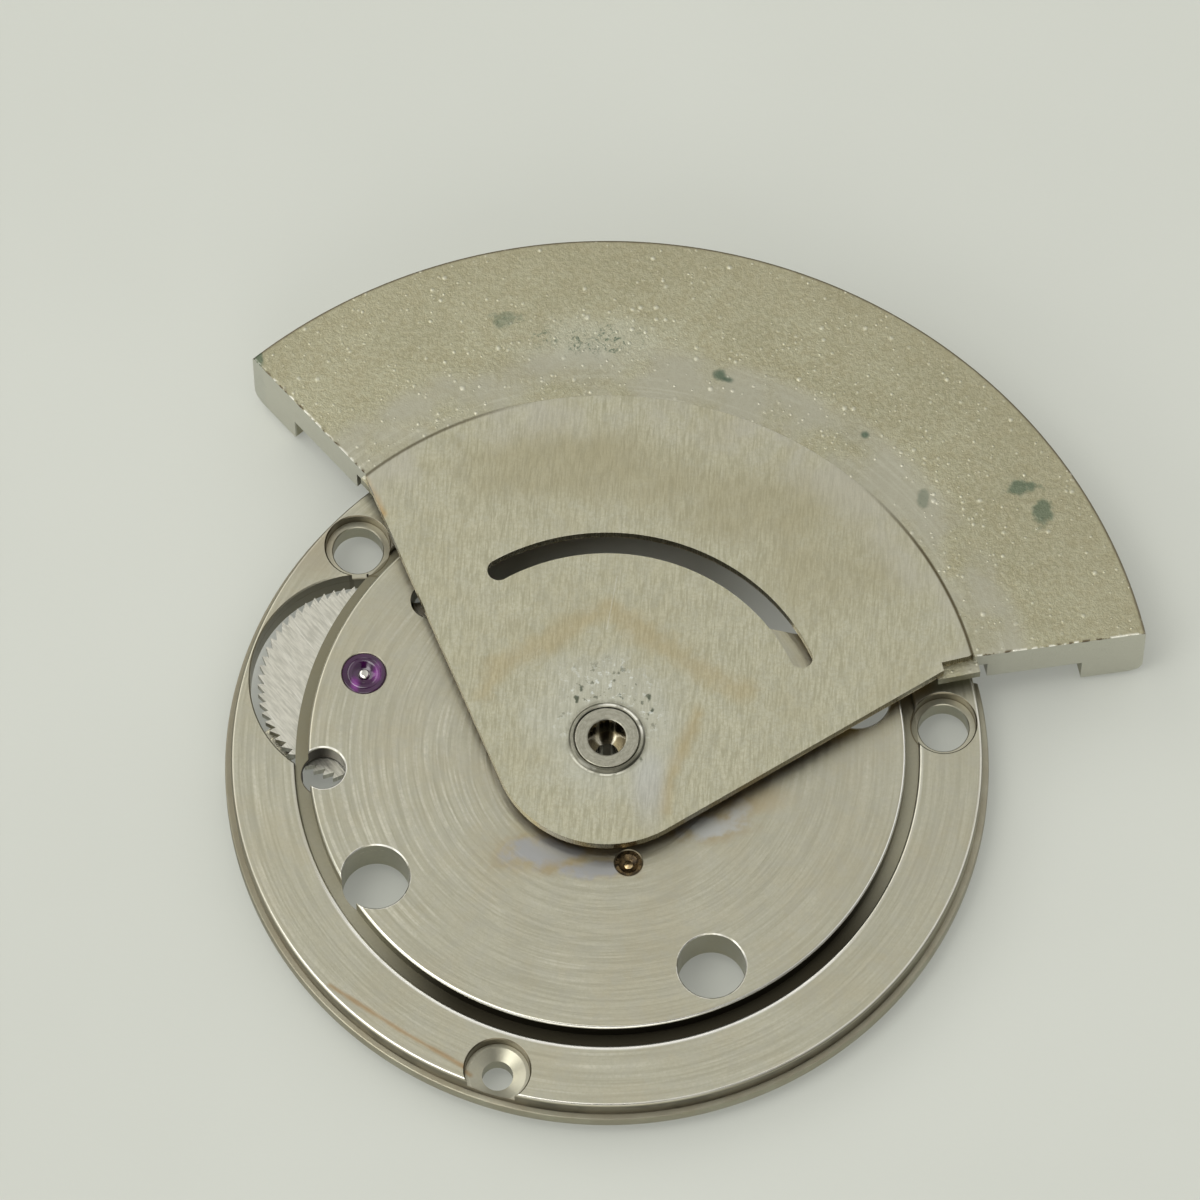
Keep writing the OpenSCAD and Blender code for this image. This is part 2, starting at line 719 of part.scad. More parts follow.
module sheet_shape() {
  reach = acos(hub_end_r / seam_r);
  intersection() {
    circle(r = seam_r);
    union() {
      circle(r = hub_end_r);
      polygon([pol(hub_end_r, sheet_a0 - reach), pol(seam_r, sheet_a0), pol(far, sheet_a0),
        pol(1.5 * far, 50), pol(1.5 * far, 90), pol(far, sheet_a1), pol(seam_r, sheet_a1),
        pol(hub_end_r, sheet_a1 + reach), [0, 0]]);
    }
  }
}

module slot_shape() {
  difference() {
    circle(r = slot_r + slot_w / 2);
    circle(r = slot_r - slot_w / 2);
    polygon([[0, 0], pol(far, slot_a1), pol(1.5 * far, slot_a1 + 50), pol(1.5 * far, 225),
      pol(1.5 * far, 270), pol(1.5 * far, 330), pol(far, slot_a0)]);
  }
  translate(pol(slot_r, slot_a0)) circle(r = slot_w / 2);
  translate(pol(slot_r, slot_a1)) circle(r = slot_w / 2);
}

module rotor_sheet() {
  color(nickel) translate([0, 0, sheet_z]) linear_extrude(sheet_t) difference() {
    sheet_shape();
    circle(r = neck_r);
    slot_shape();
    translate(pol(seam_r, sheet_a0)) rotate(sheet_a0) translate([-0.75, -1]) square([1, 0.97]);
  }
}

module rim_ends() {
  c0 = pol(rotor_r, rim_a0);
  c1 = pol(rotor_r, rim_a1);
  d0 = pol(1, rim_a0 - rim_skew0);
  d1 = pol(1, rim_a1 + rim_skew1);
  polygon([c0 - 0.4 * far * d0, c0 + 0.2 * far * d0, pol(far, 40), pol(far, 71), pol(far, 100),
    c1 + 0.2 * far * d1, c1 - 0.4 * far * d1]);
}

module rotor_weight() {
  band_r = rotor_r - rim_band;
  color(nickel) {
    intersection() {
      rotate_extrude() polygon([[seam_r, lip_z], [rim_in_r, lip_z], [rim_in_r, top_z - rim_thin],
        [band_r, top_z - rim_thin], [band_r, top_z - rim_deep], [rotor_r - rim_c, top_z - rim_deep],
        [rotor_r, top_z - rim_deep + rim_c], [rotor_r, top_z - edge_c], [rotor_r - edge_c, top_z],
        [seam_r, top_z]]);
      linear_extrude(top_z + 1) rim_ends();
    }
    translate([0, 0, lip_z]) linear_extrude(lip_t) difference() {
      intersection() {
        circle(r = seam_r + 0.1);
        polygon([[0, 0], pol(far, lip_a0), pol(1.5 * far, 45), pol(1.5 * far, 95), pol(far, rim_a1)]);
      }
      circle(r = lip_r);
    }
  }
}

module rotor_bush() {
  in_r = post_r + run_fit;
  z0 = bridge_t + washer_t + 0.01;
  color(steel) rotate_extrude() polygon([[in_r, z0], [tube_r, z0], [tube_r, sheet_z - collar_t],
    [collar_r, sheet_z - collar_t], [collar_r, sheet_z], [neck_r, sheet_z], [neck_r, top_z],
    [rivet_r, top_z], [rivet_r, hub_top - 0.04], [rivet_r - 0.05, hub_top],
    [head_r + run_fit, hub_top], [head_r + run_fit, head_z - 0.01], [in_r, head_z - 0.01]]);
}

module rotor_pinion() {
  color(steel) translate([0, 0, low_z]) toothed(n_rotor, mod_rotor, wheel_t + 0.02, rev_ang, tube_r);
}

// Reverser

module reverser_wheel() {
  color(brass) at(rev_c, low_z) difference() {
    toothed(n_rev, mod_rotor, wheel_t, rev_ang + 180 + 180 / n_rev, arbor_r + 0.01);
    for (a = pawl_turns) rotate(a) round_windows(1, pin_at, pin_r, wheel_t);
    rotate(135) round_windows(2, 1.15, 0.3, wheel_t);
  }
}

module reverser_arbor() {
  color(steel) at(rev_c, 0) rotate_extrude() polygon([[0, 0.1], [pivot_r, 0.1],
    [pivot_r, plate_z + 0.01], [arbor_r, plate_z + 0.01], [arbor_r, ceil_z - 0.02],
    [pivot_r, ceil_z - 0.02], [pivot_r, ceil_z + brass_t - 0.08], [0, ceil_z + brass_t - 0.06]]);
}

module reverser_ratchet() {
  color(steel) at(rev_c, low_top) {
    toothed_saw(n_rat, rat_r, rat_d, pawl_z + pawl_t - low_top, rat_turn, arbor_r);
    translate([0, 0, pawl_z + pawl_t - low_top]) difference() {
      cylinder(r = 0.42, h = gear_z - pawl_z - pawl_t);
      translate([0, 0, -eps]) cylinder(r = arbor_r, h = 1);
    }
  }
}

module reverser_gear() {
  color(brass) at(rev_c, gear_z) difference() {
    toothed(n_gear, mod_mid, gear_t, gear_ang, arbor_r);
    rotate(20) round_windows(3, 0.72, 0.2, gear_t);
  }
}

module pawl_pin(turn) {
  color(steel) at(rev_c, low_z) rotate(turn) translate([pin_at, 0, 0])
    cylinder(r = pin_r, h = pawl_z + pawl_t + 0.01 - low_z);
}

module pawl_pin_left() {
  pawl_pin(pawl_turns[1]);
}

module pawl_pin_right() {
  pawl_pin(pawl_turns[0]);
}

// A pawl runs past the ratchet's tips and its nose drops against a steep side
module pawl(turn) {
  l = pawl_l;
  w = pawl_w / 2;
  nose = pawl_arm_at - rat_r + rat_d - 0.03;
  color(steel) at(rev_c, pawl_z) rotate(turn) translate([pin_at, 0, 0]) linear_extrude(pawl_t) difference() {
    union() {
      circle(r = pawl_end_r);
      rotate(180 - pawl_lean) polygon([[0, -w], [l, -w], [l + 0.02, nose], [l - 0.28, w], [0, w]]);
    }
    circle(r = pin_r + pivot_fit);
  }
}

module pawl_left() {
  pawl(pawl_turns[1]);
}

module pawl_right() {
  pawl(pawl_turns[0]);
}

// Middle train

module inter_wheel() {
  color(brass) at(inter_c, inter_z) difference() {
    toothed(n_inter, mod_mid, inter_t, gear_ang + 180 + 180 / n_inter, hub_r);
    round_windows(4, 0.93, 0.33, inter_t);
  }
}

module inter_pinion() {
  r = stud_r + pivot_fit;
  color(steel) at(inter_c, low_z) {
    toothed(n_ipin, mod_mid, inter_z - low_z, ipin_ang, r);
    translate([0, 0, inter_z - low_z]) difference() {
      cylinder(r = hub_r, h = inter_t + 0.02);
      translate([0, 0, -eps]) cylinder(r = r, h = 1);
    }
  }
}

module reduction_wheel() {
  color(brass) at(red_c, low_z) difference() {
    toothed(n_red, mod_mid, wheel_t, ipin_ang + 180 + 180 / n_red, hub_r);
    round_windows(5, 1.08, 0.4, wheel_t);
  }
}

module reduction_pinion() {
  r = stud_r + pivot_fit;
  color(steel) at(red_c, low_z) {
    translate([0, 0, wheel_t])
      toothed_saw(n_rpin, rpin_tip, saw_d, saw_top + 0.02 - low_top, red_ang + 180 + 36 / n_rpin, r);
    difference() {
      cylinder(r = hub_r, h = wheel_t);
      translate([0, 0, -eps]) cylinder(r = r, h = 1);
    }
  }
}

module saw_wheel() {
  color(steel) at(saw_c, saw_z) toothed_saw(n_saw, saw_tip, saw_d, saw_t, red_ang, saw_arbor_r);
}

module saw_arbor() {
  top = disc_z - jewel_t;
  color(steel) at(saw_c, 0) rotate_extrude() polygon([[0, 0.01], [saw_pivot_r, 0.01],
    [saw_pivot_r, bridge_t], [saw_arbor_r, bridge_t], [saw_arbor_r, saw_z - 0.1],
    [flange_r, saw_z - 0.1], [flange_r, saw_z], [saw_arbor_r, saw_z], [saw_arbor_r, top - 0.02],
    [saw_pivot_r, top - 0.02], [saw_pivot_r, disc_z - 0.05], [saw_pivot_r - 0.04, disc_z - 0.02],
    [0, disc_z - 0.02]]);
}

module output_pinion() {
  color(steel) at(saw_c, 0.02) toothed(n_out, mod_mid, out_t, 0, saw_pivot_r);
}

frame_plate();
lower_bridge();
centre_post();
rotor_washer();
upper_jewel();
lower_jewel();
upper_bush();
lower_bush();
inter_stud();
reduction_stud();
bridge_screw_outer();
bridge_screw_front();
bridge_screw_right();
steady_pin_right();
steady_pin_front();
click_stud();
click_spring();
rotor_sheet();
rotor_weight();
rotor_bush();
rotor_pinion();
reverser_wheel();
reverser_arbor();
reverser_ratchet();
reverser_gear();
pawl_pin_left();
pawl_pin_right();
pawl_left();
pawl_right();
inter_wheel();
inter_pinion();
reduction_wheel();
reduction_pinion();
saw_wheel();
saw_arbor();
output_pinion();
click();
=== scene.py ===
from math import acos, atan2, cos, degrees, hypot, pi, radians, sin

import bmesh
import bpy
from mathutils import Matrix, Vector


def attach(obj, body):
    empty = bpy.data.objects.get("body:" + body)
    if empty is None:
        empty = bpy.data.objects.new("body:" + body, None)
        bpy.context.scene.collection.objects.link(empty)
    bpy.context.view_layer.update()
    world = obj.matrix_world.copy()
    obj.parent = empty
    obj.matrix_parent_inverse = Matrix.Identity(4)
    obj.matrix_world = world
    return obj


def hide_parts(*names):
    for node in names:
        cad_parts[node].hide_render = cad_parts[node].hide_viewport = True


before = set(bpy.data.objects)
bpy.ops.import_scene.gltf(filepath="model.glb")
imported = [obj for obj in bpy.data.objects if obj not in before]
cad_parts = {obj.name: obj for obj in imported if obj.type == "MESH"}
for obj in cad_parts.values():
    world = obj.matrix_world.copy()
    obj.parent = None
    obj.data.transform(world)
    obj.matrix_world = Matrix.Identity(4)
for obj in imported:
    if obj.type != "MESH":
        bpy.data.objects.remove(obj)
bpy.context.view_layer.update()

# ---- Camera
# A long lens looks down on the mechanism from the front at 67 degrees. It stands
# 230 mm from the middle of the rotor's top, and is aimed a little above it.

rotor_top = Vector((0.0, 0.0, 0.00225))
eye_distance = 0.230
eye_height = 1.16787
pan, tilt, roll = 0.00069, 0.01389, 0.00047
pixels_per_mm, photo_width = 43.24937, 1200.0

eye_back = Vector((0.0, -cos(eye_height), sin(eye_height)))
eye_right = Vector((1.0, 0.0, 0.0))
eye_up = eye_right.cross(-eye_back)
eye_aim = Matrix.Rotation(pan, 3, eye_up) @ -eye_back
eye_aim = Matrix.Rotation(tilt, 3, eye_right) @ eye_aim
eye_side = Matrix.Rotation(pan, 3, eye_up) @ eye_right
eye_top = eye_side.cross(eye_aim)
eye_roll = Matrix.Rotation(roll, 3, eye_aim)
eye_side, eye_top = eye_roll @ eye_side, eye_roll @ eye_top
eye_matrix = Matrix((eye_side, eye_top, -eye_aim)).transposed().to_4x4()
eye_matrix.translation = rotor_top + eye_back * eye_distance
lens = bpy.data.cameras.new("Camera")
lens.sensor_fit = "HORIZONTAL"
lens.sensor_width = 36.0
lens.lens = pixels_per_mm * eye_distance * 1000 / photo_width * lens.sensor_width
lens.clip_start = 0.01


def put(name, data):
    """A new object in the scene."""
    made = bpy.data.objects.new(name, data)
    bpy.context.scene.collection.objects.link(made)
    return made


camera = put("Camera", lens)
camera.matrix_world = eye_matrix
bpy.context.scene.camera = camera


# ---- Studio floor
# A sheet of pale, faintly warm paper, matt and plain, that the mechanism lies on.
# It catches the soft shadow under the plate and the rotor's rim. Under the rotor its even glow is left
# out, which paints shade there.

def tree_of(owner):
    """The empty node tree of a new material or world."""
    owner.use_nodes = True
    owner.node_tree.nodes.clear()
    return owner.node_tree


def plug(socket, value):
    """Gives an input another node's output to read, or a value of its own."""
    if isinstance(value, bpy.types.NodeSocket):
        value.id_data.links.new(value, socket)
    else:
        socket.default_value = value


def tree_among(values):
    """The node tree of the first output among some values."""
    return next(value.id_data for value in values if isinstance(value, bpy.types.NodeSocket))


def add(tree, kind, settings=None, **inputs):
    """A new node with its settings, and its inputs by name, each a value or an output."""
    made = tree.nodes.new(kind)
    for name, value in (settings or {}).items():
        setattr(made, name, value)
    for name, value in inputs.items():
        plug(made.inputs[name.replace("_", " ")], value)
    return made


def calc(operation, *values):
    """The result of a Math node on one or two values or outputs."""
    made = add(tree_among(values), "ShaderNodeMath", {"operation": operation})
    for socket, value in zip(made.inputs, values):
        plug(socket, value)
    return made.outputs[0]


def calc_all(operation, values):
    """The result of one operation on a row of values, taken in turn."""
    result = values[0]
    for value in values[1:]:
        result = calc(operation, result, value)
    return result


def times(*values):
    """The product of some values."""
    return calc_all("MULTIPLY", values)


def plus(*values):
    """The sum of some values."""
    return calc_all("ADD", values)


def most(*values):
    """The greatest of some values."""
    return calc_all("MAXIMUM", values)


def minus(first, second):
    """What is left of the first value without the second."""
    return calc("SUBTRACT", first, second)


def vector(operation, first, second):
    """The outputs of a Vector Math node on two vectors."""
    made = add(first.id_data, "ShaderNodeVectorMath", {"operation": operation}, Vector=first)
    plug(made.inputs[1], second)
    return made.outputs


def scaled(place, share):
    """A vector made share times as long."""
    made = add(place.id_data, "ShaderNodeVectorMath", {"operation": "SCALE"}, Vector=place, Scale=share)
    return made.outputs[0]


def length(place):
    """The length of a vector."""
    made = add(place.id_data, "ShaderNodeVectorMath", {"operation": "LENGTH"}, Vector=place)
    return made.outputs["Value"]


def distance(place, point):
    """How far a place is from a point at height 0."""
    return vector("DISTANCE", place, (*point, 0.0))["Value"]


def split(place):
    """The parts x, y and z of a vector."""
    return add(place.id_data, "ShaderNodeSeparateXYZ", Vector=place).outputs


def joined(x, y, z):
    """A vector of three parts."""
    return add(tree_among((x, y, z)), "ShaderNodeCombineXYZ", X=x, Y=y, Z=z).outputs[0]


def fade(value, low, high, start=0.0, end=1.0):
    """Start below low, end above high, and a soft step between."""
    made = add(value.id_data, "ShaderNodeMapRange", {"interpolation_type": "SMOOTHSTEP"},
               Value=value, From_Min=low, From_Max=high, To_Min=start, To_Max=end)
    return made.outputs["Result"]


def fall(value, low, high):
    """One below low, none above high, and a soft step between."""
    return fade(value, low, high, 1.0, 0.0)


def blend(share, first, second):
    """Two colours mixed by share."""
    made = add(share.id_data, "ShaderNodeMix", {"data_type": "RGBA"})
    plug(made.inputs[0], share)
    for socket, colour in zip(made.inputs[6:8], (first, second)):
        plug(socket, (*colour, 1.0) if isinstance(colour, tuple) else colour)
    return made.outputs[2]


def cloud(place, scale, detail=2.0, roughness=0.5, wander=0.0):
    """A noise between 0 and 1."""
    made = add(place.id_data, "ShaderNodeTexNoise", Vector=place, Scale=scale, Detail=detail,
               Roughness=roughness, Distortion=wander)
    return made.outputs["Fac"]


def mixed(share, first, second):
    """Two shaders mixed by share."""
    made = add(share.id_data, "ShaderNodeMixShader", Fac=share)
    plug(made.inputs[1], first.outputs[0])
    plug(made.inputs[2], second.outputs[0])
    return made.outputs[0]


def new_finish(name):
    """A new material, its empty tree, and the place on the object in millimetres."""
    made = bpy.data.materials.new(name)
    tree = tree_of(made)
    place = scaled(add(tree, "ShaderNodeTexCoord").outputs["Object"], 1000.0)
    return made, tree, place


paper, tree, place = new_finish("pale paper")
shade = fade(cloud(place, 0.08, 3.0), 0.3, 0.7)
colour = blend(shade, (0.582, 0.598, 0.543), (0.598, 0.614, 0.559))
tooth = add(tree, "ShaderNodeBump", Height=cloud(place, 6.0, 3.0), Strength=0.03, Distance=0.0001)
matt = add(tree, "ShaderNodeBsdfPrincipled", Base_Color=colour, Roughness=0.9, Specular_IOR_Level=0.1,
           Normal=tooth.outputs[0])
ray = add(tree, "ShaderNodeLightPath").outputs
seen = most(ray["Is Camera Ray"], ray["Is Glossy Ray"], ray["Is Transmission Ray"])
even = add(tree, "ShaderNodeEmission", Color=colour, Strength=1.0)
# Painted shade: the even glow fades out under the rotor, left of the middle, so the floor there stays
# dark
glow_share_shaded_under_rotor = most(fade(distance(place, (1.5, 5.5)), 5.0, 7.0, 0.0, 0.33),
                  fade(split(place)[0], 2.0, 5.0, 0.0, 0.33))
add(tree, "ShaderNodeOutputMaterial", Surface=mixed(times(seen, glow_share_shaded_under_rotor), matt, even))

floor_shape = bmesh.new()
bmesh.ops.create_grid(floor_shape, x_segments=1, y_segments=1, size=1.5)
floor_mesh = bpy.data.meshes.new("floor")
floor_shape.to_mesh(floor_mesh)
floor_shape.free()
floor_mesh.materials.append(paper)
floor = put("floor", floor_mesh)

# ---- Studio light
# A white tent all round, brighter overhead and low in front, with one large soft
# lamp over the left. The lens looks in through a dark opening of the tent.

tent = bpy.data.worlds.new("tent")
tree = tree_of(tent)
tent_way = add(tree, "ShaderNodeTexCoord").outputs["Generated"]


def ray_along(direction):
    """How nearly a ray goes in a direction, as the cosine between them."""
    return vector("DOT_PRODUCT", tent_way, Vector(direction).normalized())["Value"]


def glow(direction, inner, outer, level):
    """A round bright patch of the tent, soft between two angles from its middle."""
    return fade(ray_along(direction), cos(radians(outer)), cos(radians(inner)), 0.0, level)


light = plus(fade(ray_along((0.0, 0.3, 0.95)), 0.15, 0.85, 0.20, 0.57),
             glow((0.0, -0.94, 0.34), 10, 34, 1.7), glow((-0.86, -0.42, 0.25), 10, 34, 2.0),
             glow((-0.28, -0.16, 0.95), 8, 25, 4.2), glow((0.45, 0.42, 0.79), 12, 38, 0.4))
light = times(light, minus(1.0, glow(eye_back, 11, 20, 0.97)))
lit = add(tree, "ShaderNodeBackground", Color=(1.0, 0.995, 0.97, 1.0), Strength=light)
seen = add(tree, "ShaderNodeBackground", Color=(0.66, 0.675, 0.61, 1.0), Strength=1.0)
camera_ray = add(tree, "ShaderNodeLightPath").outputs["Is Camera Ray"]
add(tree, "ShaderNodeOutputWorld", Surface=mixed(camera_ray, lit, seen))
bpy.context.scene.world = tent

lamp_data = bpy.data.lights.new("soft lamp", "AREA")
lamp_data.shape = "DISK"
lamp_data.size = 0.28
lamp_data.energy = 0.3
lamp_data.color = (1.0, 0.99, 0.96)
lamp_place = Vector((-0.20, 0.18, 0.26))
lamp_turn = lamp_place.to_track_quat("Z", "Y").to_matrix().to_4x4()
lamp = put("soft lamp", lamp_data)
lamp.matrix_world = Matrix.Translation(lamp_place) @ lamp_turn
bpy.context.scene.view_settings.view_transform = "Standard"

# ---- Frame plate
# The base of the mechanism: a round brass plate turned and drilled in one piece,
# then nickel-plated. A raised disc stands inside a groove and an outer ring, and
# the underside is milled out for the train. The turning marks still show.

sharp_angle = radians(28.0)


def soften(mesh):
    """Smooth shading, with sharp edges kept, and level faces left flat beside a rounded edge."""
    mesh.polygons.foreach_set("use_smooth", [True] * len(mesh.polygons))
    mesh.set_sharp_from_angle(angle=sharp_angle)
    shape = bmesh.new()
    shape.from_mesh(mesh)
    for edge in shape.edges:
        level = [abs(face.normal.z) > 0.99999 for face in edge.link_faces]
        if any(level) and not all(level):
            edge.smooth = False
    shape.to_mesh(mesh)
    shape.free()


def finish_mesh(shape, name):
    """Turns a shape worked out in millimetres into a named object."""
    bmesh.ops.remove_doubles(shape, verts=shape.verts, dist=1e-5)
    bmesh.ops.recalc_face_normals(shape, faces=shape.faces)
    mesh = bpy.data.meshes.new(name)
    shape.to_mesh(mesh)
    shape.free()
    soften(mesh)
    return put(name, mesh)


def polar(radius, angle, centre=(0.0, 0.0)):
    """A point at a radius and an angle in degrees about a centre."""
    return (centre[0] + radius * cos(radians(angle)), centre[1] + radius * sin(radians(angle)))


def turned(name, profile, centre=(0.0, 0.0), steps=240, start=0.0, sweep=360.0):
    """A piece turned on the lathe: a profile of (radius, height) spun about its centre, and closed
    by an edge of its own where it doesn't begin and end on the axis."""
    shape = bmesh.new()
    corners = [shape.verts.new((*polar(r, start), z)) for r, z in profile]
    rim = [shape.edges.new(pair) for pair in zip(corners, corners[1:])]
    if profile[0][0] > 0 or profile[-1][0] > 0:
        rim.append(shape.edges.new((corners[-1], corners[0])))
    whole = sweep == 360.0
    bmesh.ops.spin(shape, geom=corners + rim, cent=(0, 0, 0), axis=(0, 0, 1), angle=radians(sweep),
                   steps=steps, use_merge=whole)
    bmesh.ops.remove_doubles(shape, verts=shape.verts, dist=1e-5)
    if not whole:
        bmesh.ops.holes_fill(shape, edges=shape.edges, sides=0)
    bmesh.ops.translate(shape, verts=shape.verts, vec=(*centre, 0.0))
    return finish_mesh(shape, name)


def drill(name, centre, low, high, radius, broken=0.0):
    """A drill that leaves a round hole, with its upper edge broken at height high."""
    profile = [(0.0, low), (radius, low), (radius, high - broken)]
    if broken:
        profile += [(radius + broken + 0.004, high + 0.004)]
    profile += [(radius + broken + 0.004 * bool(broken), high + 0.5), (0.0, high + 0.5)]
    return turned(name, profile, centre, 96)


def raise_faces(shape, height):
    """Draws the flat faces of a shape up into a solid."""
    drawn = bmesh.ops.extrude_face_region(shape, geom=shape.faces[:])
    moved = [part for part in drawn["geom"] if isinstance(part, bmesh.types.BMVert)]
    bmesh.ops.translate(shape, verts=moved, vec=(0.0, 0.0, height))


def prism(name, outline, low, high):
    """A flat outline raised between two heights."""
    shape = bmesh.new()
    shape.faces.new([shape.verts.new((x, y, low)) for x, y in outline])
    raise_faces(shape, high - low)
    return finish_mesh(shape, name)


def carve(body, tools, kind="DIFFERENCE"):
    """Cuts the tools out of a body, and takes the tools away."""
    for tool in tools:
        step = body.modifiers.new(tool.name, "BOOLEAN")
        step.operation = kind
        step.solver = "EXACT"
        step.object = tool
    bpy.context.view_layer.update()
    seen = body.evaluated_get(bpy.context.evaluated_depsgraph_get())
    mesh = bpy.data.meshes.new_from_object(seen)
    body.modifiers.clear()
    old = body.data
    body.data = mesh
    bpy.data.meshes.remove(old)
    for tool in tools:
        bpy.data.meshes.remove(tool.data)
    soften(body.data)


def settle(piece, body, slot, material, *nodes):
    """Brings a finished piece to metres and puts it on its body, in place of its solids."""
    piece.data.transform(Matrix.Scale(0.001, 4))
    piece.data.materials.clear()
    piece.data.materials.append(material)
    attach(piece, body)
    if nodes:
        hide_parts(*nodes)


plate_low, ledge_high, ring_high, disc_high = 0.45, 0.80, 1.28, 1.58
bore_r, skirt_r, ring_out_r, ring_in_r, disc_r = 1.193, 8.88, 8.73, 7.24, 6.93
groove_low, pocket_low, ceiling = 1.14, 1.00, 1.15
edge_break = 0.06
# The wheels' places: each pair's centres are as far apart as its teeth together take up
first_pair, first_pair_teeth = 0.0992, 29
last_pair, last_pair_teeth = 0.075625, 40
saw_teeth, first_tooth = 64, -45
reverser_at = polar(first_pair * first_pair_teeth, 279.93)
saw_at = polar(5.972, 161.1)
reduction_at = polar(last_pair * last_pair_teeth, first_tooth, saw_at)
inter_reach, other_reach = 2.5, 2.9
gap_x, gap_y = reverser_at[0] - reduction_at[0], reverser_at[1] - reduction_at[1]
gap_long = hypot(gap_x, gap_y)
gap_turn = degrees(atan2(gap_y, gap_x) - acos(
    (inter_reach ** 2 + gap_long ** 2 - other_reach ** 2) / (2 * inter_reach * gap_long)))
inter_at = polar(inter_reach, gap_turn, reduction_at)
saw_tip = last_pair * 32 + 0.075


def rounded(centre, start, sweep, steps=4):
    """An edge rounded over, as points of a profile."""
    return [polar(edge_break, start + sweep * i / steps, centre) for i in range(steps + 1)]


plate = turned("plate", [
    (bore_r, plate_low), (8.87, plate_low), (skirt_r, plate_low + 0.01), (skirt_r, ledge_high - 0.03),
    (8.871, ledge_high - 0.009), (8.85, ledge_high), (ring_out_r, ledge_high)]
    + rounded((ring_out_r - edge_break, ring_high - edge_break), 0, 90)
    + rounded((ring_in_r + edge_break, ring_high - edge_break), 90, 90)
    + [(ring_in_r, groove_low), (disc_r, groove_low)]
    + rounded((disc_r - edge_break, disc_high - edge_break), 0, 90)
    + [(bore_r, disc_high)], steps=360)

# Every tool starts under the plate and ends above it. The balance opening's walls
# run out to the back past the plate's edge
under, over, far_over, far = 0.3, 1.8, 2.1, 20
front_wall = 3.62
balance_corner = [polar(0.6, angle, (-2.37, 4.22)) for angle in range(180, 271, 10)]
right_lean, left_lean = radians(12.3), radians(3)
balance_walls = [(1.2, front_wall), (1.2 + far * cos(right_lean), front_wall - far * sin(right_lean)),
                 (21.0, 21.0), (-2.95 - far * sin(left_lean), front_wall + far * cos(left_lean))]
tools = [prism("balance tool", [(-2.97, 4.22)] + balance_corner + balance_walls, 0.0, 3.0)]
left_seat, right_seat, front_seat = polar(7.9, 137.6), polar(7.87, 5.8), polar(8.22, 252.2)
seat_low, seat_r, seat_lip = ring_high - 0.30, 0.755, 0.789
for seat, hole, hole_lip, hole_deep in (
        (left_seat, 0.59, 0.61, 0.02), (right_seat, 0.59, 0.61, 0.02), (front_seat, 0.36, 0.655, 0.12)):
    tools.append(turned("seat tool", [
        (0.0, under), (hole, under), (hole, seat_low - hole_deep), (hole_lip, seat_low),
        (seat_r, seat_low), (seat_r, ring_high - 0.03), (seat_lip, ring_high + 0.004),
        (seat_lip, over), (0.0, over)], seat, 96))
ports, port_r = (polar(6.21, 210.8), polar(5.91, 294.0), polar(5.96, 12.8)), 0.785
for port in ports:
    tools.append(drill("port tool", port, under, disc_high, port_r, 0.025))
sight_at, sight_r = polar(saw_tip + 0.066, 248.9, saw_at), 0.515
back_sight_at, back_sight_r = polar(saw_tip - 0.1, 50.6, saw_at), 0.44
tools.append(drill("sight tool left", sight_at, under, disc_high, sight_r, 0.02))
tools.append(drill("sight tool back", back_sight_at, under, disc_high, back_sight_r, 0.015))
wheel_room, inter_tip, reduction_tip, reverser_tip = 0.12, 1.682, 1.982, 1.966144
for at, tip in ((inter_at, inter_tip), (reduction_at, reduction_tip)):
    tools.append(turned("wheel tool", [
        (0.0, under), (tip + wheel_room, under), (tip + wheel_room, ceiling), (0.0, ceiling)], at, 128))
reverser_r, bush_r, bush_lip = reverser_tip + wheel_room, 0.315, 0.339
tools.append(turned("reverser tool", [
    (0.0, under), (reverser_r, under), (reverser_r, ceiling), (bush_r, ceiling),
    (bush_r, disc_high - 0.02), (bush_lip, disc_high + 0.004), (bush_lip, far_over),
    (0.0, far_over)], reverser_at, 128))
pocket_r, jewel_low, jewel_r, jewel_lip = saw_tip + 0.17, disc_high - 0.26, 0.515, 0.539
tools.append(turned("pocket tool", [
    (0.0, under), (pocket_r, under), (pocket_r, pocket_low), (0.40, pocket_low), (0.40, jewel_low),
    (jewel_r, jewel_low), (jewel_r, disc_high - 0.02), (jewel_lip, disc_high + 0.004),
    (jewel_lip, far_over), (0.0, far_over)], saw_at, 160))
window_r, window_high = pocket_r + 0.003, ring_high + 0.47
window = turned("window tool", [(0.0, 0.9), (window_r, 0.9), (window_r, ring_high - 0.03),
                                (window_r + 0.5, window_high), (0.0, window_high)], saw_at, 160)
carve(window, [turned("disc tool", [(0.0, 0.2), (7.235, 0.2), (7.235, 3.0), (0.0, 3.0)], steps=360)])
tools.append(window)
click_reach, click_clear = 3.12, saw_tip + 0.27
click_lean = degrees(acos(click_clear / click_reach))
click_at = polar(click_reach, first_tooth + 22 * 360 / saw_teeth - 1.3 - click_lean, saw_at)
click_turn = degrees(atan2(click_at[1] - saw_at[1], click_at[0] - saw_at[0]))
click_way = click_turn + click_lean + 90
click_long = (click_reach ** 2 - click_clear ** 2) ** 0.5
click_end = polar(click_long, click_way, click_at)
blade_foot = polar(3.85, 60, saw_at)
blade_end = polar(0.72 * click_long, click_way, click_at)
blade_end = polar(0.15 + 0.06 + 0.035, click_way - 90, blade_end)


def bar_outline(first, last, width, steps=24):
    """A straight bar with round ends, as a closed outline."""
    turn = degrees(atan2(last[1] - first[1], last[0] - first[0]))
    ends = [polar(width / 2, turn + 90 + 180 * i / steps, first) for i in range(steps + 1)]
    return ends + [polar(width / 2, turn - 90 + 180 * i / steps, last) for i in range(steps + 1)]


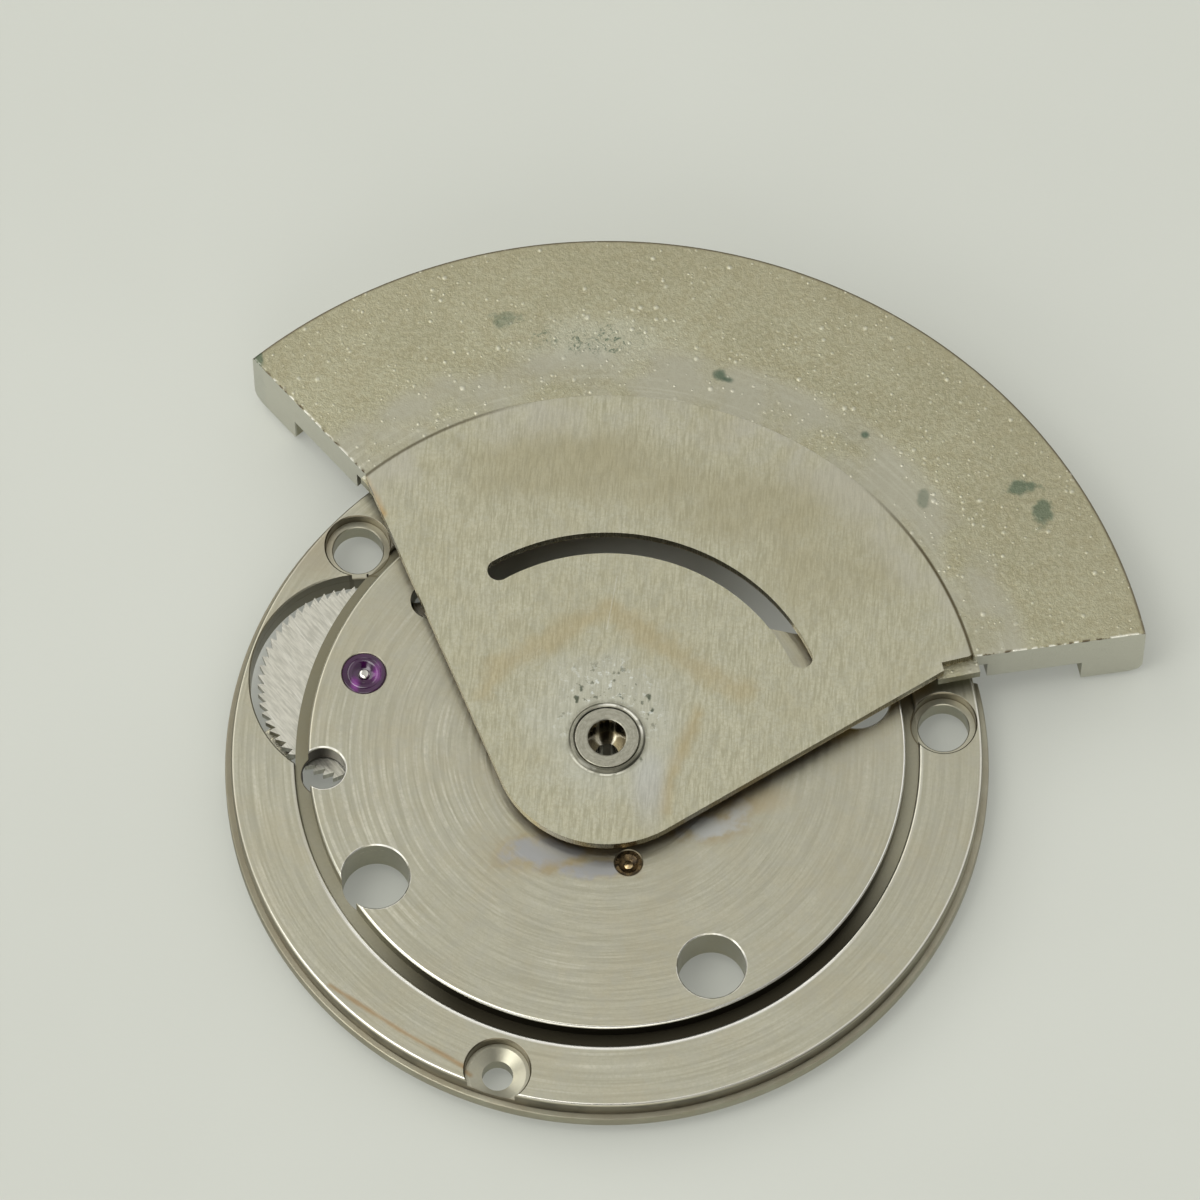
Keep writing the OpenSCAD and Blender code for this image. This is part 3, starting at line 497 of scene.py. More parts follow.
stud_high = pocket_low - 0.03
click_tools = [prism("click tool", bar_outline(click_at, click_end, 0.6), under, pocket_low - 0.01),
               prism("spring tool", bar_outline(blade_foot, blade_end, 0.5), under, pocket_low - 0.02),
               turned("click stud tool", [(0.0, under), (0.46, under), (0.46, stud_high),
                                          (0.0, stud_high)], click_at, 64)]
carve(plate, click_tools + tools)


def about_axis(place):
    """A place's parts, the place brought to height 0, and how far it is from the middle."""
    parts = split(place)
    level = joined(parts[0], parts[1], 0.0)
    return parts, level, length(level)


def bearing(level):
    """The parts of the direction in which a level place lies."""
    made = add(level.id_data, "ShaderNodeVectorMath", {"operation": "NORMALIZE"}, Vector=level)
    return split(made.outputs[0])


def new_group(name, outputs, **inputs):
    """An empty shader group with its named outputs, and the place and other values that it reads."""
    group = bpy.data.node_groups.new(name, "ShaderNodeTree")
    for label, value in {"Place": (0, 0, 0), **inputs}.items():
        kind = "Vector" if isinstance(value, tuple) else "Float"
        socket = group.interface.new_socket(name=label, in_out="INPUT", socket_type="NodeSocket" + kind)
        socket.default_value = value
    for label in outputs:
        group.interface.new_socket(name=label, in_out="OUTPUT", socket_type="NodeSocketFloat")
    return group, group.nodes.new("NodeGroupInput").outputs, group.nodes.new("NodeGroupOutput").inputs


def use(group, **inputs):
    """A group placed in the tree that its inputs come from."""
    return add(tree_among(inputs.values()), "ShaderNodeGroup", {"node_tree": group}, **inputs).outputs


# The lathe's marks: fine rings about the axis that fade in and out along their way,
# with a painted highlight, a bright arc of sheen, here and there
turning, given, gives = new_group("turning marks", ["Lines", "Sheen arcs"], Fineness=1.0)
parts, level, out = about_axis(given["Place"])
way = bearing(level)


def ringwise(across, along):
    """The place stretched along the rings: changes per millimetre across, and per radian along."""
    return joined(times(way[0], along), times(way[1], along), times(out, across))


fine = cloud(ringwise(times(given["Fineness"], 22.0), 3.5), 1.0, 4.0, 0.65)
plug(gives["Lines"], fade(fine, 0.34, 0.66))
sheen_arcs = cloud(ringwise(7.5, 1.1), 1.0, 2.0, 0.5)
here = cloud(ringwise(0.6, 1.7), 1.0, 3.0, 0.6)
swell = plus(times(out, 25.0), times(cloud(ringwise(1.5, 1.5), 1.0, 2.0), 7.0))
sheen_arcs = most(fade(sheen_arcs, 0.53, 0.66), fade(calc("SINE", swell), 0.55, 1.0, 0.0, 0.8))
plug(gives["Sheen arcs"], times(sheen_arcs, fade(here, 0.40, 0.60)))

# A stain: a soft-edged patch about a point, with a wandering outline
stain, given, gives = new_group("stain", ["Mask"], Centre=(0, 0, 0), Stretch=(1, 1, 0), Size=1.0,
                                Softness=0.3, Wander=0.5, Grain=1.5)
gone = vector("SUBTRACT", given["Place"], given["Centre"])[0]
reach = length(vector("MULTIPLY", gone, given["Stretch"])[0])
shift = times(minus(cloud(given["Place"], given["Grain"], 4.0), 0.5), given["Wander"])
plug(gives["Mask"], fall(plus(reach, shift), minus(given["Size"], given["Softness"]),
                         plus(given["Size"], given["Softness"])))


def stain_mask(centre, size, stretch, softness, wander, grain):
    """Where one stain lies on the finish in hand."""
    return use(stain, Place=place, Centre=(*centre, 0.0), Stretch=(1 / stretch[0], 1 / stretch[1], 0.0),
               Size=size, Softness=softness, Wander=wander, Grain=grain)["Mask"]


def tinted(share, tint):
    """The colour of the finish in hand, brought by a share to a tint."""
    return blend(share, colour, tint)


def stained(tint, strength, centre, size, stretch=(1, 1), softness=0.3, wander=0.5, grain=1.5):
    """The colour of the finish in hand with one more stain over it."""
    return tinted(times(stain_mask(centre, size, stretch, softness, wander, grain), strength), tint)


# A streak: a soft line between two points, for scratches, seams and the rims of stains
streak, given, gives = new_group("streak", ["Mask"], First=(0, 0, 0), Last=(1, 0, 0), Width=0.1,
                                 Wander=0.1, Grain=2.0)
gone = vector("SUBTRACT", vector("MULTIPLY", given["Place"], (1.0, 1.0, 0.0))[0], given["First"])[0]
span = vector("SUBTRACT", given["Last"], given["First"])[0]
share = calc("DIVIDE", vector("DOT_PRODUCT", gone, span)["Value"],
             vector("DOT_PRODUCT", span, span)["Value"])
share = calc("MINIMUM", most(share, 0.0), 1.0)
foot = scaled(span, share)
shift = times(given["Wander"], minus(cloud(given["Place"], given["Grain"], 4.0), 0.5))
apart = plus(vector("DISTANCE", gone, foot)["Value"], shift)
plug(gives["Mask"], fall(apart, 0.0, given["Width"]))


def streak_mask(first, last, width, wander, grain):
    """Where one streak lies on the finish in hand."""
    return use(streak, Place=place, First=(*first, 0.0), Last=(*last, 0.0), Width=width, Wander=wander,
               Grain=grain)["Mask"]


def streaked(tint, strength, points, width, wander=0.1, grain=2.0):
    """The colour of the finish in hand with a streak over it along a row of points."""
    mask = 0.0
    for first, last in zip(points, points[1:]):
        mask = most(mask, streak_mask(first, last, width, wander, grain))
    return tinted(times(mask, strength), tint)


def within(value, low, high, soft=0.008):
    """One between two limits, with soft ends."""
    return times(fade(value, low - soft, low + soft), fall(value, high - soft, high + soft))


def towards(direction):
    """How far a place on the piece in hand lies in a direction from the middle, from -1 to 1."""
    return calc("DIVIDE", plus(times(parts[0], direction[0]), times(parts[1], direction[1])), out)


def cover(colour, rough, height, relief=0.1, depth=0.00001, metallic=1.0):
    """Ends the metal finish in hand: its colour, its roughness and the height of its fine marks."""
    bump = add(tree, "ShaderNodeBump", Height=height, Strength=relief, Distance=depth)
    face = add(tree, "ShaderNodeBsdfPrincipled", Base_Color=colour, Metallic=metallic, Roughness=rough,
               Normal=bump.outputs[0])
    add(tree, "ShaderNodeOutputMaterial", Surface=face.outputs[0])


turned_nickel, tree, place = new_finish("turned nickel")
marks = use(turning, Place=place, Fineness=1.0)
parts, level, out = about_axis(place)
on_top = most(fade(parts[2], 1.565, 1.575), within(parts[2], 1.265, 1.30, 0.005))
lines = plus(0.5, times(on_top, minus(marks["Lines"], 0.5)))
colour = blend(lines, (0.392, 0.377, 0.287), (0.436, 0.421, 0.331))
# Painted highlight: bright bands of sheen on the turned top faces, stronger to the left
sheen_arcs = times(marks["Sheen arcs"], on_top, fade(parts[0], -2.0, 3.0, 0.55, 0.2))
colour = tinted(sheen_arcs, (0.66, 0.645, 0.54))
grit = fade(cloud(place, 13.0, 3.0, 0.7), 0.35, 0.68)
colour = tinted(times(grit, 0.45), (0.35, 0.34, 0.26))
mottle = fade(cloud(place, 0.55, 5.0, 0.62), 0.42, 0.66)
colour = tinted(times(mottle, 0.4), (0.40, 0.365, 0.26))
colour = tinted(fade(cloud(place, 2.6, 4.0, 0.65), 0.45, 0.62, 0.0, 0.4), (0.39, 0.38, 0.31))
rust, painted_shade_black = (0.34, 0.27, 0.15), (0.02, 0.017, 0.01)
blue, pale_blue = (0.335, 0.345, 0.355), (0.43, 0.445, 0.435)
for at, size, stretch, tint in (
        ((-1.35, -2.62), 0.52, (1.6, 0.62), blue), ((-0.35, -2.98), 0.40, (1.7, 0.45), blue),
        ((2.25, -1.92), 0.52, (1.5, 0.48), pale_blue), ((3.0, -1.55), 0.30, (1.0, 0.7), pale_blue)):
    colour = stained(rust, 0.5, at, size * 1.5, stretch, 0.28, 1.2, 2.2)
    colour = stained(tint, 0.85, at, size, stretch, 0.22, 1.3, 2.4)
colour = stained((0.39, 0.32, 0.19), 0.5, (3.3, -1.2), 0.6, (1.3, 0.5), 0.4, 0.8)
scratch = ((-6.37, -5.75), (-4.75, -6.86), (-3.14, -7.84))
colour = streaked((0.31, 0.20, 0.09), 0.7, scratch, 0.10, 0.14, 1.5)
colour = stained((0.33, 0.28, 0.19), 0.5, (-7.0, 5.6), 0.8, (0.8, 1.2), 0.5, 1.0, 1.2)

# The groove's walls and the ring's outer wall are smoother. The groove is dark with old oil, more so
# towards the back left. At the front, the groove and the ring's outer wall are painted near black as
# painted shade, and the ring's outer top edge is darker towards the back left.
in_groove = times(fade(out, 6.90, disc_r), fall(out, ring_in_r, 7.27), fall(parts[2], 1.50, 1.54))
on_rim = times(fade(out, 8.71, ring_out_r), fall(parts[2], 1.20, 1.24))
smooth = most(in_groove, on_rim)
back_left, front = (-0.866, 0.5), (0.17, -0.985)
oily_groove = times(in_groove, fade(towards(back_left), 0.6, 0.95, 0.45, 0.72))
colour = tinted(oily_groove, (0.10, 0.09, 0.05))
# Painted shade: the groove near black at the front
colour = tinted(times(in_groove, fade(towards(front), 0.42, 0.80, 0.0, 0.95)), painted_shade_black)
# Painted shade: the ring's outer wall near black at the front and front left
rim_painted_shade = most(fade(towards((-0.56, -0.83)), 0.80, 0.94, 0.0, 0.88),
                fade(towards((0.15, -0.989)), 0.55, 0.85, 0.0, 0.85))
rim_painted_shade = times(rim_painted_shade, fall(out, 8.735, 8.76))
colour = tinted(times(on_rim, rim_painted_shade), painted_shade_black)
to_left = fade(towards(back_left), 0.25, 0.75)
outer = times(fade(out, 8.66, ring_out_r), fade(cloud(place, 1.2, 4.0), 0.3, 0.6, 0.2, 0.6))
colour = tinted(outer, (0.30, 0.27, 0.20))
colour = tinted(times(fade(out, 8.66, 8.72), to_left, 0.5), (0.13, 0.115, 0.075))

# Painted shade darkens the walls of the screw seats, the ring round the brass bush where the rotor
# shades it, the sight hole's wall and the back of the pocket
recess_shade = 0.0
for seat in (left_seat, right_seat, front_seat):
    recess_shade = most(recess_shade, within(distance(level, seat), 0.742, 0.785, 0.01))
recess_shade = times(recess_shade, fall(parts[2], 1.274, ring_high), fall(out, 8.64, 8.68))
recess_shade = most(recess_shade, fall(distance(level, reverser_at), 0.33, 0.36))
sight_wall = times(fade(distance(level, sight_at), sight_r, 0.545, 0.95, 0.0),
                   fall(parts[2], 1.49, 1.53))
# Painted shade on the sight hole's wall
colour = tinted(sight_wall, (0.02, 0.016, 0.01))
pocket_wall = times(within(distance(level, saw_at), pocket_r - 0.02, pocket_r + 0.03),
                    fall(parts[2], 1.23, 1.25))
recess_shade = most(recess_shade, times(pocket_wall, fade(parts[1], 1.5, 3.0, 0.0, 0.7)))
colour = tinted(times(recess_shade, 0.8), (0.10, 0.08, 0.045))
rough = plus(fade(lines, 0.0, 1.0, 0.30, 0.37), times(smooth, 0.08))

# Painted highlights along the rounded edges, which are also smoother, stronger to the right and fainter
# to the left, and along the rims of the ports and the sight hole
to_right = fade(towards((0.985, -0.17)), 0.72, 0.94)
edge_highlight = times(within(out, 6.88, 6.94), fade(parts[2], 1.52, 1.54),
                  plus(0.65, times(to_right, 0.35)))
ring_inside = times(within(out, 7.23, 7.34, 0.03), minus(1.0, times(to_right, 0.8)))
ring_edges = most(ring_inside, times(within(out, 8.66, 8.70, 0.015), 0.5))
edge_highlight = most(edge_highlight, times(ring_edges, within(parts[2], 1.24, 1.29)))
edge_highlight = times(edge_highlight, fade(cloud(place, 2.0, 4.0, 0.7), 0.25, 0.55, 0.7, 1.0),
                  minus(1.0, times(to_left, 0.85)))
colour = tinted(edge_highlight, (0.95, 0.94, 0.88))
rough = minus(rough, times(edge_highlight, 0.10))
# Painted highlights on the rims of the ports and the sight hole
lip_highlights = 0.0
for at, reach in [(port, port_r) for port in ports] + [(sight_at, sight_r)]:
    lip_highlights = most(lip_highlights, within(distance(level, at), reach - 0.01, reach + 0.035))
lip_highlights = times(lip_highlights, fade(cloud(place, 4.0, 3.0), 0.35, 0.55, 0.1, 0.8))
colour = tinted(times(lip_highlights, fade(parts[2], 1.54, 1.55)), (0.90, 0.89, 0.82))
cover(colour, rough, plus(times(lines, 0.35), times(grit, 0.3)))
settle(plate, "frame", "nickel_plate", turned_nickel, "frame_plate")

# ---- Saw wheel's upper jewel
# A ring of synthetic ruby pressed flush into the disc, deep magenta, with an oil
# cup turned in its middle. The wheel's pivot runs in the hole and shows there.

cup = ((0.512, 0.03), (0.485, 0.005), (0.40, 0.001), (0.385, 0.012), (0.36, 0.002), (0.31, 0.004),
       (0.28, 0.02), (0.22, 0.055), (0.17, 0.078), (0.135, 0.085))
jewel = turned("jewel", [(0.135, jewel_low), (0.512, jewel_low)]
               + [(r, disc_high - depth) for r, depth in cup], saw_at, 96)
ruby, tree, place = new_finish("ruby")
colour = blend(cloud(place, 3.0, 3.0), (0.012, 0.001, 0.015), (0.055, 0.005, 0.055))
# Painted highlights: two brighter magenta patches, at the right and the lower left of the jewel
for x, y in ((0.30, 0.02), (-0.20, -0.26)):
    at = (saw_at[0] + x, saw_at[1] + y)
    colour = stained((0.22, 0.03, 0.25), 0.8, at, 0.10, (0.8, 1.6), 0.1, 0.2, 4.0)
face = add(tree, "ShaderNodeBsdfPrincipled", Base_Color=colour, Roughness=0.08, IOR=1.65)
add(tree, "ShaderNodeOutputMaterial", Surface=face.outputs[0])
settle(jewel, "frame", "ruby", ruby, "upper_jewel")

# ---- Saw wheel
# Hardened steel, milled flat and straight-grained, with fine saw teeth all round.
# It sits on a flange of its arbor, under the cut in the groove at the left.

saw_low, saw_high = 0.73, 0.95
saw_root = saw_tip - 0.16
pitch = 360 / saw_teeth


def close_and_raise(shape, near, height):
    """Closes and fills a flat outline, and draws it up into a solid."""
    bmesh.ops.remove_doubles(shape, verts=shape.verts, dist=near)
    bmesh.ops.contextual_create(shape, geom=shape.edges[:])
    raise_faces(shape, height)


shape = bmesh.new()
tooth = [polar(saw_root, first_tooth), polar(saw_tip, first_tooth + 0.03 * pitch),
         polar(saw_tip, first_tooth + 0.09 * pitch), polar(saw_root, first_tooth + pitch)]
chain = [shape.verts.new((x, y, saw_low)) for x, y in tooth]
links = [shape.edges.new(pair) for pair in zip(chain, chain[1:])]
bmesh.ops.spin(shape, geom=chain + links, cent=(0, 0, 0), axis=(0, 0, 1), angle=2 * pi, steps=saw_teeth,
               use_duplicate=True)
close_and_raise(shape, 1e-4, saw_high - saw_low)
bmesh.ops.translate(shape, verts=shape.verts, vec=(*saw_at, 0.0))
saw = finish_mesh(shape, "toothed_wheel")
carve(saw, [drill("saw bore tool", saw_at, 0.5, saw_high + 0.2, 0.28)])

# Straight grinding marks that run one way
brushing, given, gives = new_group("brushed lines", ["Lines", "Scratches"], Turn=0.0, Fineness=1.0)
spun = add(brushing, "ShaderNodeVectorRotate", {"rotation_type": "Z_AXIS"}, Vector=given["Place"],
           Angle=given["Turn"])
parts = split(spun.outputs[0])
fine = joined(times(parts[0], times(given["Fineness"], 16.0)), times(parts[1], 2.4), parts[2])
plug(gives["Lines"], fade(cloud(fine, 1.0, 4.0, 0.6, 0.15), 0.34, 0.66))
long = joined(times(parts[0], 14.0), times(parts[1], 0.8), parts[2])
plug(gives["Scratches"], fade(cloud(long, 1.0, 5.0, 0.7, 0.4), 0.56, 0.70))

ground_steel, tree, place = new_finish("ground steel")
marks = use(brushing, Place=place, Turn=radians(-40), Fineness=1.2)
colour = blend(marks["Lines"], (0.46, 0.45, 0.385), (0.62, 0.605, 0.525))
colour = tinted(times(marks["Scratches"], 0.6), (0.78, 0.765, 0.70))
cover(colour, 0.28, marks["Lines"], 0.16)
settle(saw, "winding", "polished_steel", ground_steel, "saw_wheel")

# ---- Saw wheel's arbor and output pinion
# A turned steel arbor with burnished pivots. The pinion on its lower pivot hands
# the motion on to the movement.

polished, tree, place = new_finish("polished steel")
marks = use(turning, Place=place, Fineness=2.0)
smear = fade(cloud(place, 1.6, 3.0), 0.35, 0.75)
colour = blend(smear, (0.56, 0.55, 0.51), (0.66, 0.645, 0.58))
cover(colour, fade(smear, 0.0, 1.0, 0.12, 0.22), marks["Lines"], 0.05)

arbor = turned("wheel_arbor", [
    (0.0, 0.012), (0.10, 0.012), (0.12, 0.03), (0.12, plate_low), (0.28, plate_low),
    (0.28, saw_low - 0.1), (0.5, saw_low - 0.1), (0.5, saw_low), (0.28, saw_low),
    (0.28, jewel_low - 0.02), (0.12, jewel_low - 0.02), (0.12, disc_high - 0.055),
    (0.10, disc_high - 0.03), (0.06, disc_high - 0.02), (0.0, disc_high - 0.02)], saw_at, 64)
settle(arbor, "winding", "polished_steel", polished, "saw_arbor")


def finish_nodes(material, *names):
    """Gives CAD nodes that stay their material."""
    for name in names:
        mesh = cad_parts[name].data
        mesh.materials.clear()
        mesh.materials.append(material)


finish_nodes(polished, "output_pinion")

# ---- Reverser's upper bush
# A small turned brass bush pressed into the disc in front of the hub, brown with
# old oil. The arbor's pivot end shines in its cup.

bush_high = ceiling + 0.36
bush = turned("brass_bush", [
    (0.115, ceiling), (0.313, ceiling), (0.313, bush_high), (0.235, bush_high), (0.21, ceiling + 0.33),
    (0.14, ceiling + 0.27), (0.115, ceiling + 0.26)], reverser_at, 64)
oiled_brass, tree, place = new_finish("oiled brass")
gum = fade(cloud(place, 6.0, 4.0, 0.6), 0.35, 0.65)
colour = blend(gum, (0.16, 0.11, 0.05), (0.045, 0.032, 0.018))
cover(colour, fade(gum, 0.0, 1.0, 0.35, 0.2), gum, 0.2, 0.00002, 0.8)
settle(bush, "frame", "brass", oiled_brass, "upper_bush")

tinted_steel, tree, place = new_finish("oil-tinted steel")
gum = fade(cloud(place, 5.0, 4.0, 0.6), 0.35, 0.65)
colour = blend(gum, (0.62, 0.48, 0.27), (0.34, 0.25, 0.13))
cover(colour, fade(gum, 0.0, 1.0, 0.2, 0.35), gum)
finish_nodes(tinted_steel, "reverser_arbor")

# ---- Lower bridge and what holds it
# A flat nickel-plated bridge under the train, with three slotted screws and two
# steady pins. It carries the lower ends of the post, the arbors and the studs.

brushed_bridge, tree, place = new_finish("brushed bridge")
marks = use(brushing, Place=place, Turn=radians(35), Fineness=1.0)
colour = blend(marks["Lines"], (0.42, 0.405, 0.33), (0.51, 0.495, 0.42))
colour = tinted(fade(cloud(place, 0.6, 4.0), 0.5, 0.8, 0.0, 0.4), (0.38, 0.35, 0.26))
cover(colour, fade(marks["Lines"], 0.2, 0.8, 0.26, 0.40), marks["Lines"])
finish_nodes(brushed_bridge, "lower_bridge")
finish_nodes(polished, "bridge_screw_outer", "bridge_screw_front", "bridge_screw_right",
             "steady_pin_right", "steady_pin_front", "inter_stud", "reduction_stud")
finish_nodes(ruby, "lower_jewel")

worn_brass, tree, place = new_finish("worn brass")
dull = fade(cloud(place, 1.3, 4.0, 0.6), 0.35, 0.7)
colour = blend(dull, (0.72, 0.52, 0.22), (0.52, 0.36, 0.15))
cover(colour, fade(dull, 0.0, 1.0, 0.22, 0.38), cloud(place, 14.0, 3.0), 0.12, 0.00002)
finish_nodes(worn_brass, "lower_bush", "rotor_washer")

# ---- Reverser, middle train and click
# Cut brass wheels on steel arbors and pinions, in two layers under the disc, with
# the pawls, ratchet, click and blade spring of polished steel.

finish_nodes(worn_brass, "reverser_wheel", "reverser_gear", "inter_wheel", "reduction_wheel")
finish_nodes(polished, "reverser_ratchet", "pawl_pin_left", "pawl_pin_right", "pawl_left",
             "pawl_right", "inter_pinion", "reduction_pinion", "click", "click_stud", "click_spring",
             "rotor_pinion")

# ---- Centre post
# A hollow steel post riveted into the bridge. Its flat head holds the rotor down,
# and its bore steps in lower down. The bore is painted dark as shade, with painted reflections down its
# sides.

head_high, head_low, bore_step = 2.30, 2.18, 1.30
post = turned("post", [
    (0.27, 0.002), (0.59, 0.002), (0.59, plate_low), (0.60, plate_low), (0.60, head_low),
    (0.75, head_low), (0.75, head_high - 0.02), (0.735, head_high - 0.003), (0.72, head_high),
    (0.47, head_high), (0.445, head_high - 0.012), (0.44, head_high - 0.03), (0.44, bore_step),
    (0.27, bore_step)], steps=160)
grey_steel, tree, place = new_finish("grey steel")
marks = use(turning, Place=place, Fineness=1.6)
parts, level, out = about_axis(place)
way = bearing(level)
in_bore = fall(out, 0.442, 0.452)
grit = cloud(place, 10.0, 4.0, 0.7)
colour = blend(marks["Lines"], (0.29, 0.28, 0.225), (0.38, 0.37, 0.30))
colour = tinted(fade(grit, 0.45, 0.62, 0.0, 0.6), (0.24, 0.235, 0.185))
colour = tinted(fade(out, 0.75, 0.77, 0.0, 0.35), (0.15, 0.15, 0.11))
# Painted shade on the front of the rotor bush's rim
hub_front_shade = times(fade(out, 0.77, 0.80), fade(way[1], -0.3, -0.7, 0.0, 0.8))
colour = tinted(hub_front_shade, (0.085, 0.082, 0.06))
# Painted highlights on the rim's edge, at the back right and the front left
rim_highlight = most(fade(plus(times(way[0], 0.6), times(way[1], 0.8)), 0.55, 0.85),
                fade(plus(times(way[0], -0.55), times(way[1], -0.83)), 0.93, 0.98, 0.0, 0.15))
rim_highlight = times(rim_highlight, within(out, 0.795, 0.885, 0.012),
                 fade(cloud(place, 4.0, 3.0), 0.38, 0.5, 0.3, 1.0))
colour = tinted(rim_highlight, (0.80, 0.79, 0.70))
# Painted shade darkens the bore, and painted reflections run down it in two bright stripes
bore_reflections = times(most(within(way[0], -0.60, -0.38, 0.08), within(way[0], 0.36, 0.46, 0.08)), in_bore)
colour = tinted(times(in_bore, 0.85), (0.15, 0.125, 0.075))
colour = tinted(bore_reflections, (0.90, 0.87, 0.76))
rough = plus(fade(in_bore, 0.0, 1.0, 0.34, 0.12), times(bore_reflections, 0.2))
cover(colour, rough, plus(marks["Lines"], grit), 0.12)
settle(post, "frame", "polished_steel", grey_steel, "centre_post")

# ---- Rotor bush
# The steel hub that carries the rotor: a tube round the post with a collar under
# the sheet and a rim riveted over it, its edge chamfered, with a painted highlight on it.

bush_low, sheet_low, rotor_high = 0.50, 1.99, 2.25
collar_low, neck_r = sheet_low - 0.2, 0.86
hub = turned("hub_bush", [
    (0.62, bush_low), (0.78, bush_low), (0.78, collar_low), (1.25, collar_low), (1.25, sheet_low),
    (neck_r, sheet_low), (neck_r, rotor_high), (0.888, rotor_high), (0.888, rotor_high + 0.02),
    (0.845, rotor_high + 0.058), (0.835, rotor_high + 0.06), (0.785, rotor_high + 0.06),
    (0.77, rotor_high + 0.045), (0.77, 2.17), (0.62, 2.17)], steps=160)
settle(hub, "rotor", "polished_steel", grey_steel, "rotor_bush")

# ---- Rotor sheet
# The rotor's flat middle: thin nickel-plated sheet, brushed to and fro and stained
# by old oil, with a curved slot. It is pressed into the weight along the seam.

seam_r, hub_end = 8.745, 2.65
sheet_right, sheet_left = 14.0, 130.2
lean = degrees(acos(hub_end / seam_r))
cut_low, cut_high = 1.5, 3.0


def arc(shape, start, centre, sweep, steps):
    """A curved edge from a vertex about a centre, and the vertex at its end."""
    made = bmesh.ops.spin(shape, geom=[start], cent=(*centre, start.co.z), axis=(0, 0, 1),
                          angle=radians(sweep), steps=steps)
    return made["geom_last"][0]


shape = bmesh.new()
first = shape.verts.new((*polar(hub_end, sheet_left + lean), sheet_low))
last = arc(shape, first, (0, 0), 360 - (sheet_left + lean) + (sheet_right - lean), 96)
corner = shape.verts.new((*polar(seam_r, sheet_right), sheet_low))
shape.edges.new((last, corner))
far_corner = arc(shape, corner, (0, 0), sheet_left - sheet_right, 200)
shape.edges.new((far_corner, first))
close_and_raise(shape, 1e-5, rotor_high - sheet_low)
sheet = finish_mesh(shape, "half_moon_sheet")

slot_r, slot_w, slot_right, slot_left = 4.95, 0.53, 24.2, 120.6
shape = bmesh.new()
first = shape.verts.new((*polar(slot_r + slot_w / 2, slot_right), cut_low))
second = arc(shape, first, (0, 0), slot_left - slot_right, 120)
third = arc(shape, second, polar(slot_r, slot_left), 180, 24)
fourth = arc(shape, third, (0, 0), slot_right - slot_left, 120)
arc(shape, fourth, polar(slot_r, slot_right), 180, 24)
close_and_raise(shape, 1e-4, cut_high - cut_low)
slot_tool = finish_mesh(shape, "slot tool")
turn = Matrix.Rotation(radians(sheet_right), 2)
notch = [Vector(polar(seam_r, sheet_right)) + turn @ Vector(corner) for corner in
         ((-0.75, -1.0), (0.25, -1.0), (0.25, -0.03), (-0.75, -0.03))]
carve(sheet, [slot_tool, prism("notch tool", notch, cut_low, cut_high), turned("neck tool", [
    (0.0, cut_low), (neck_r, cut_low), (neck_r, cut_high), (0.0, cut_high)], steps=160)])

brushed_nickel, tree, place = new_finish("brushed nickel")
marks = use(brushing, Place=place, Turn=radians(4), Fineness=1.5)
colour = blend(marks["Lines"], (0.370, 0.355, 0.25), (0.462, 0.447, 0.337))
colour = tinted(times(marks["Scratches"], 0.35), (0.56, 0.545, 0.43))
mottle = fade(cloud(place, 0.5, 5.0, 0.62), 0.40, 0.68)
colour = tinted(times(mottle, 0.4), (0.38, 0.35, 0.235))
colour = tinted(fade(cloud(place, 2.4, 4.0, 0.65), 0.45, 0.60, 0.0, 0.4), (0.42, 0.412, 0.325))
colour = tinted(fade(cloud(place, 12.0, 3.0, 0.7), 0.42, 0.62, 0.0, 0.5), (0.345, 0.33, 0.23))
smoke, gold, frost = (0.32, 0.29, 0.18), (0.36, 0.28, 0.13), (0.47, 0.485, 0.44)
colour = stained(smoke, 0.6, (-0.9, 6.9), 1.6, (1.7, 0.55), 0.9, 1.6, 0.9)
colour = stained(smoke, 0.55, (3.6, 5.9), 1.5, (1.5, 0.6), 0.8, 1.6, 0.9)
colour = stained(smoke, 0.4, (5.0, 4.2), 1.3, (1.2, 0.8), 0.8, 1.6, 0.9)
oil_line = ((-2.85, 1.1), (-2.55, 1.80), (-1.37, 2.38), (0.05, 3.35), (1.21, 2.30), (2.16, 1.77),
            (3.11, 1.20))
colour = streaked(gold, 0.36, oil_line, 0.50, 0.8, 1.2)
oil_line = ((2.1, 0.6), (1.85, -0.02), (1.45, -1.0), (1.36, -1.8))
colour = streaked(gold, 0.5, oil_line, 0.30, 0.5, 1.4)
colour = stained((0.43, 0.44, 0.45), 0.45, (0.95, -1.2), 0.5, (0.7, 1.6), 0.35, 0.6, 1.2)
colour = stained(frost, 0.35, (0.0, 0.4), 1.7, (1, 1), 0.6, 1.8, 1.3)
near_hub = stain_mask((0.05, 0.75), 1.15, (1, 1), 0.4, 0.9, 1.4)
flecks = cloud(place, 7.0, 3.0, 0.7)
colour = tinted(times(near_hub, fade(flecks, 0.56, 0.68)), (0.60, 0.62, 0.57))
dirt = fade(cloud(place, 4.6, 4.0, 0.7), 0.60, 0.66, 0.0, 0.8)
colour = tinted(times(near_hub, dirt), (0.14, 0.15, 0.11))
for at, size in (((-0.70, 0.98), 0.07), ((-0.58, 1.22), 0.05), ((0.97, 1.02), 0.07),
                 ((1.05, 0.72), 0.05), ((0.78, -0.52), 0.05)):
    colour = stained((0.05, 0.065, 0.04), 0.85, at, size, (0.7, 1.2), 0.03, 0.2, 9.0)
colour = streaked((0.62, 0.61, 0.54), 0.3, ((0.24, 4.1), (0.0, 2.75)), 0.02, 0.01, 3.0)
colour = streaked((0.42, 0.26, 0.09), 0.85, ((-5.66, 6.55), (-5.28, 5.70)), 0.20, 0.16, 3.0)

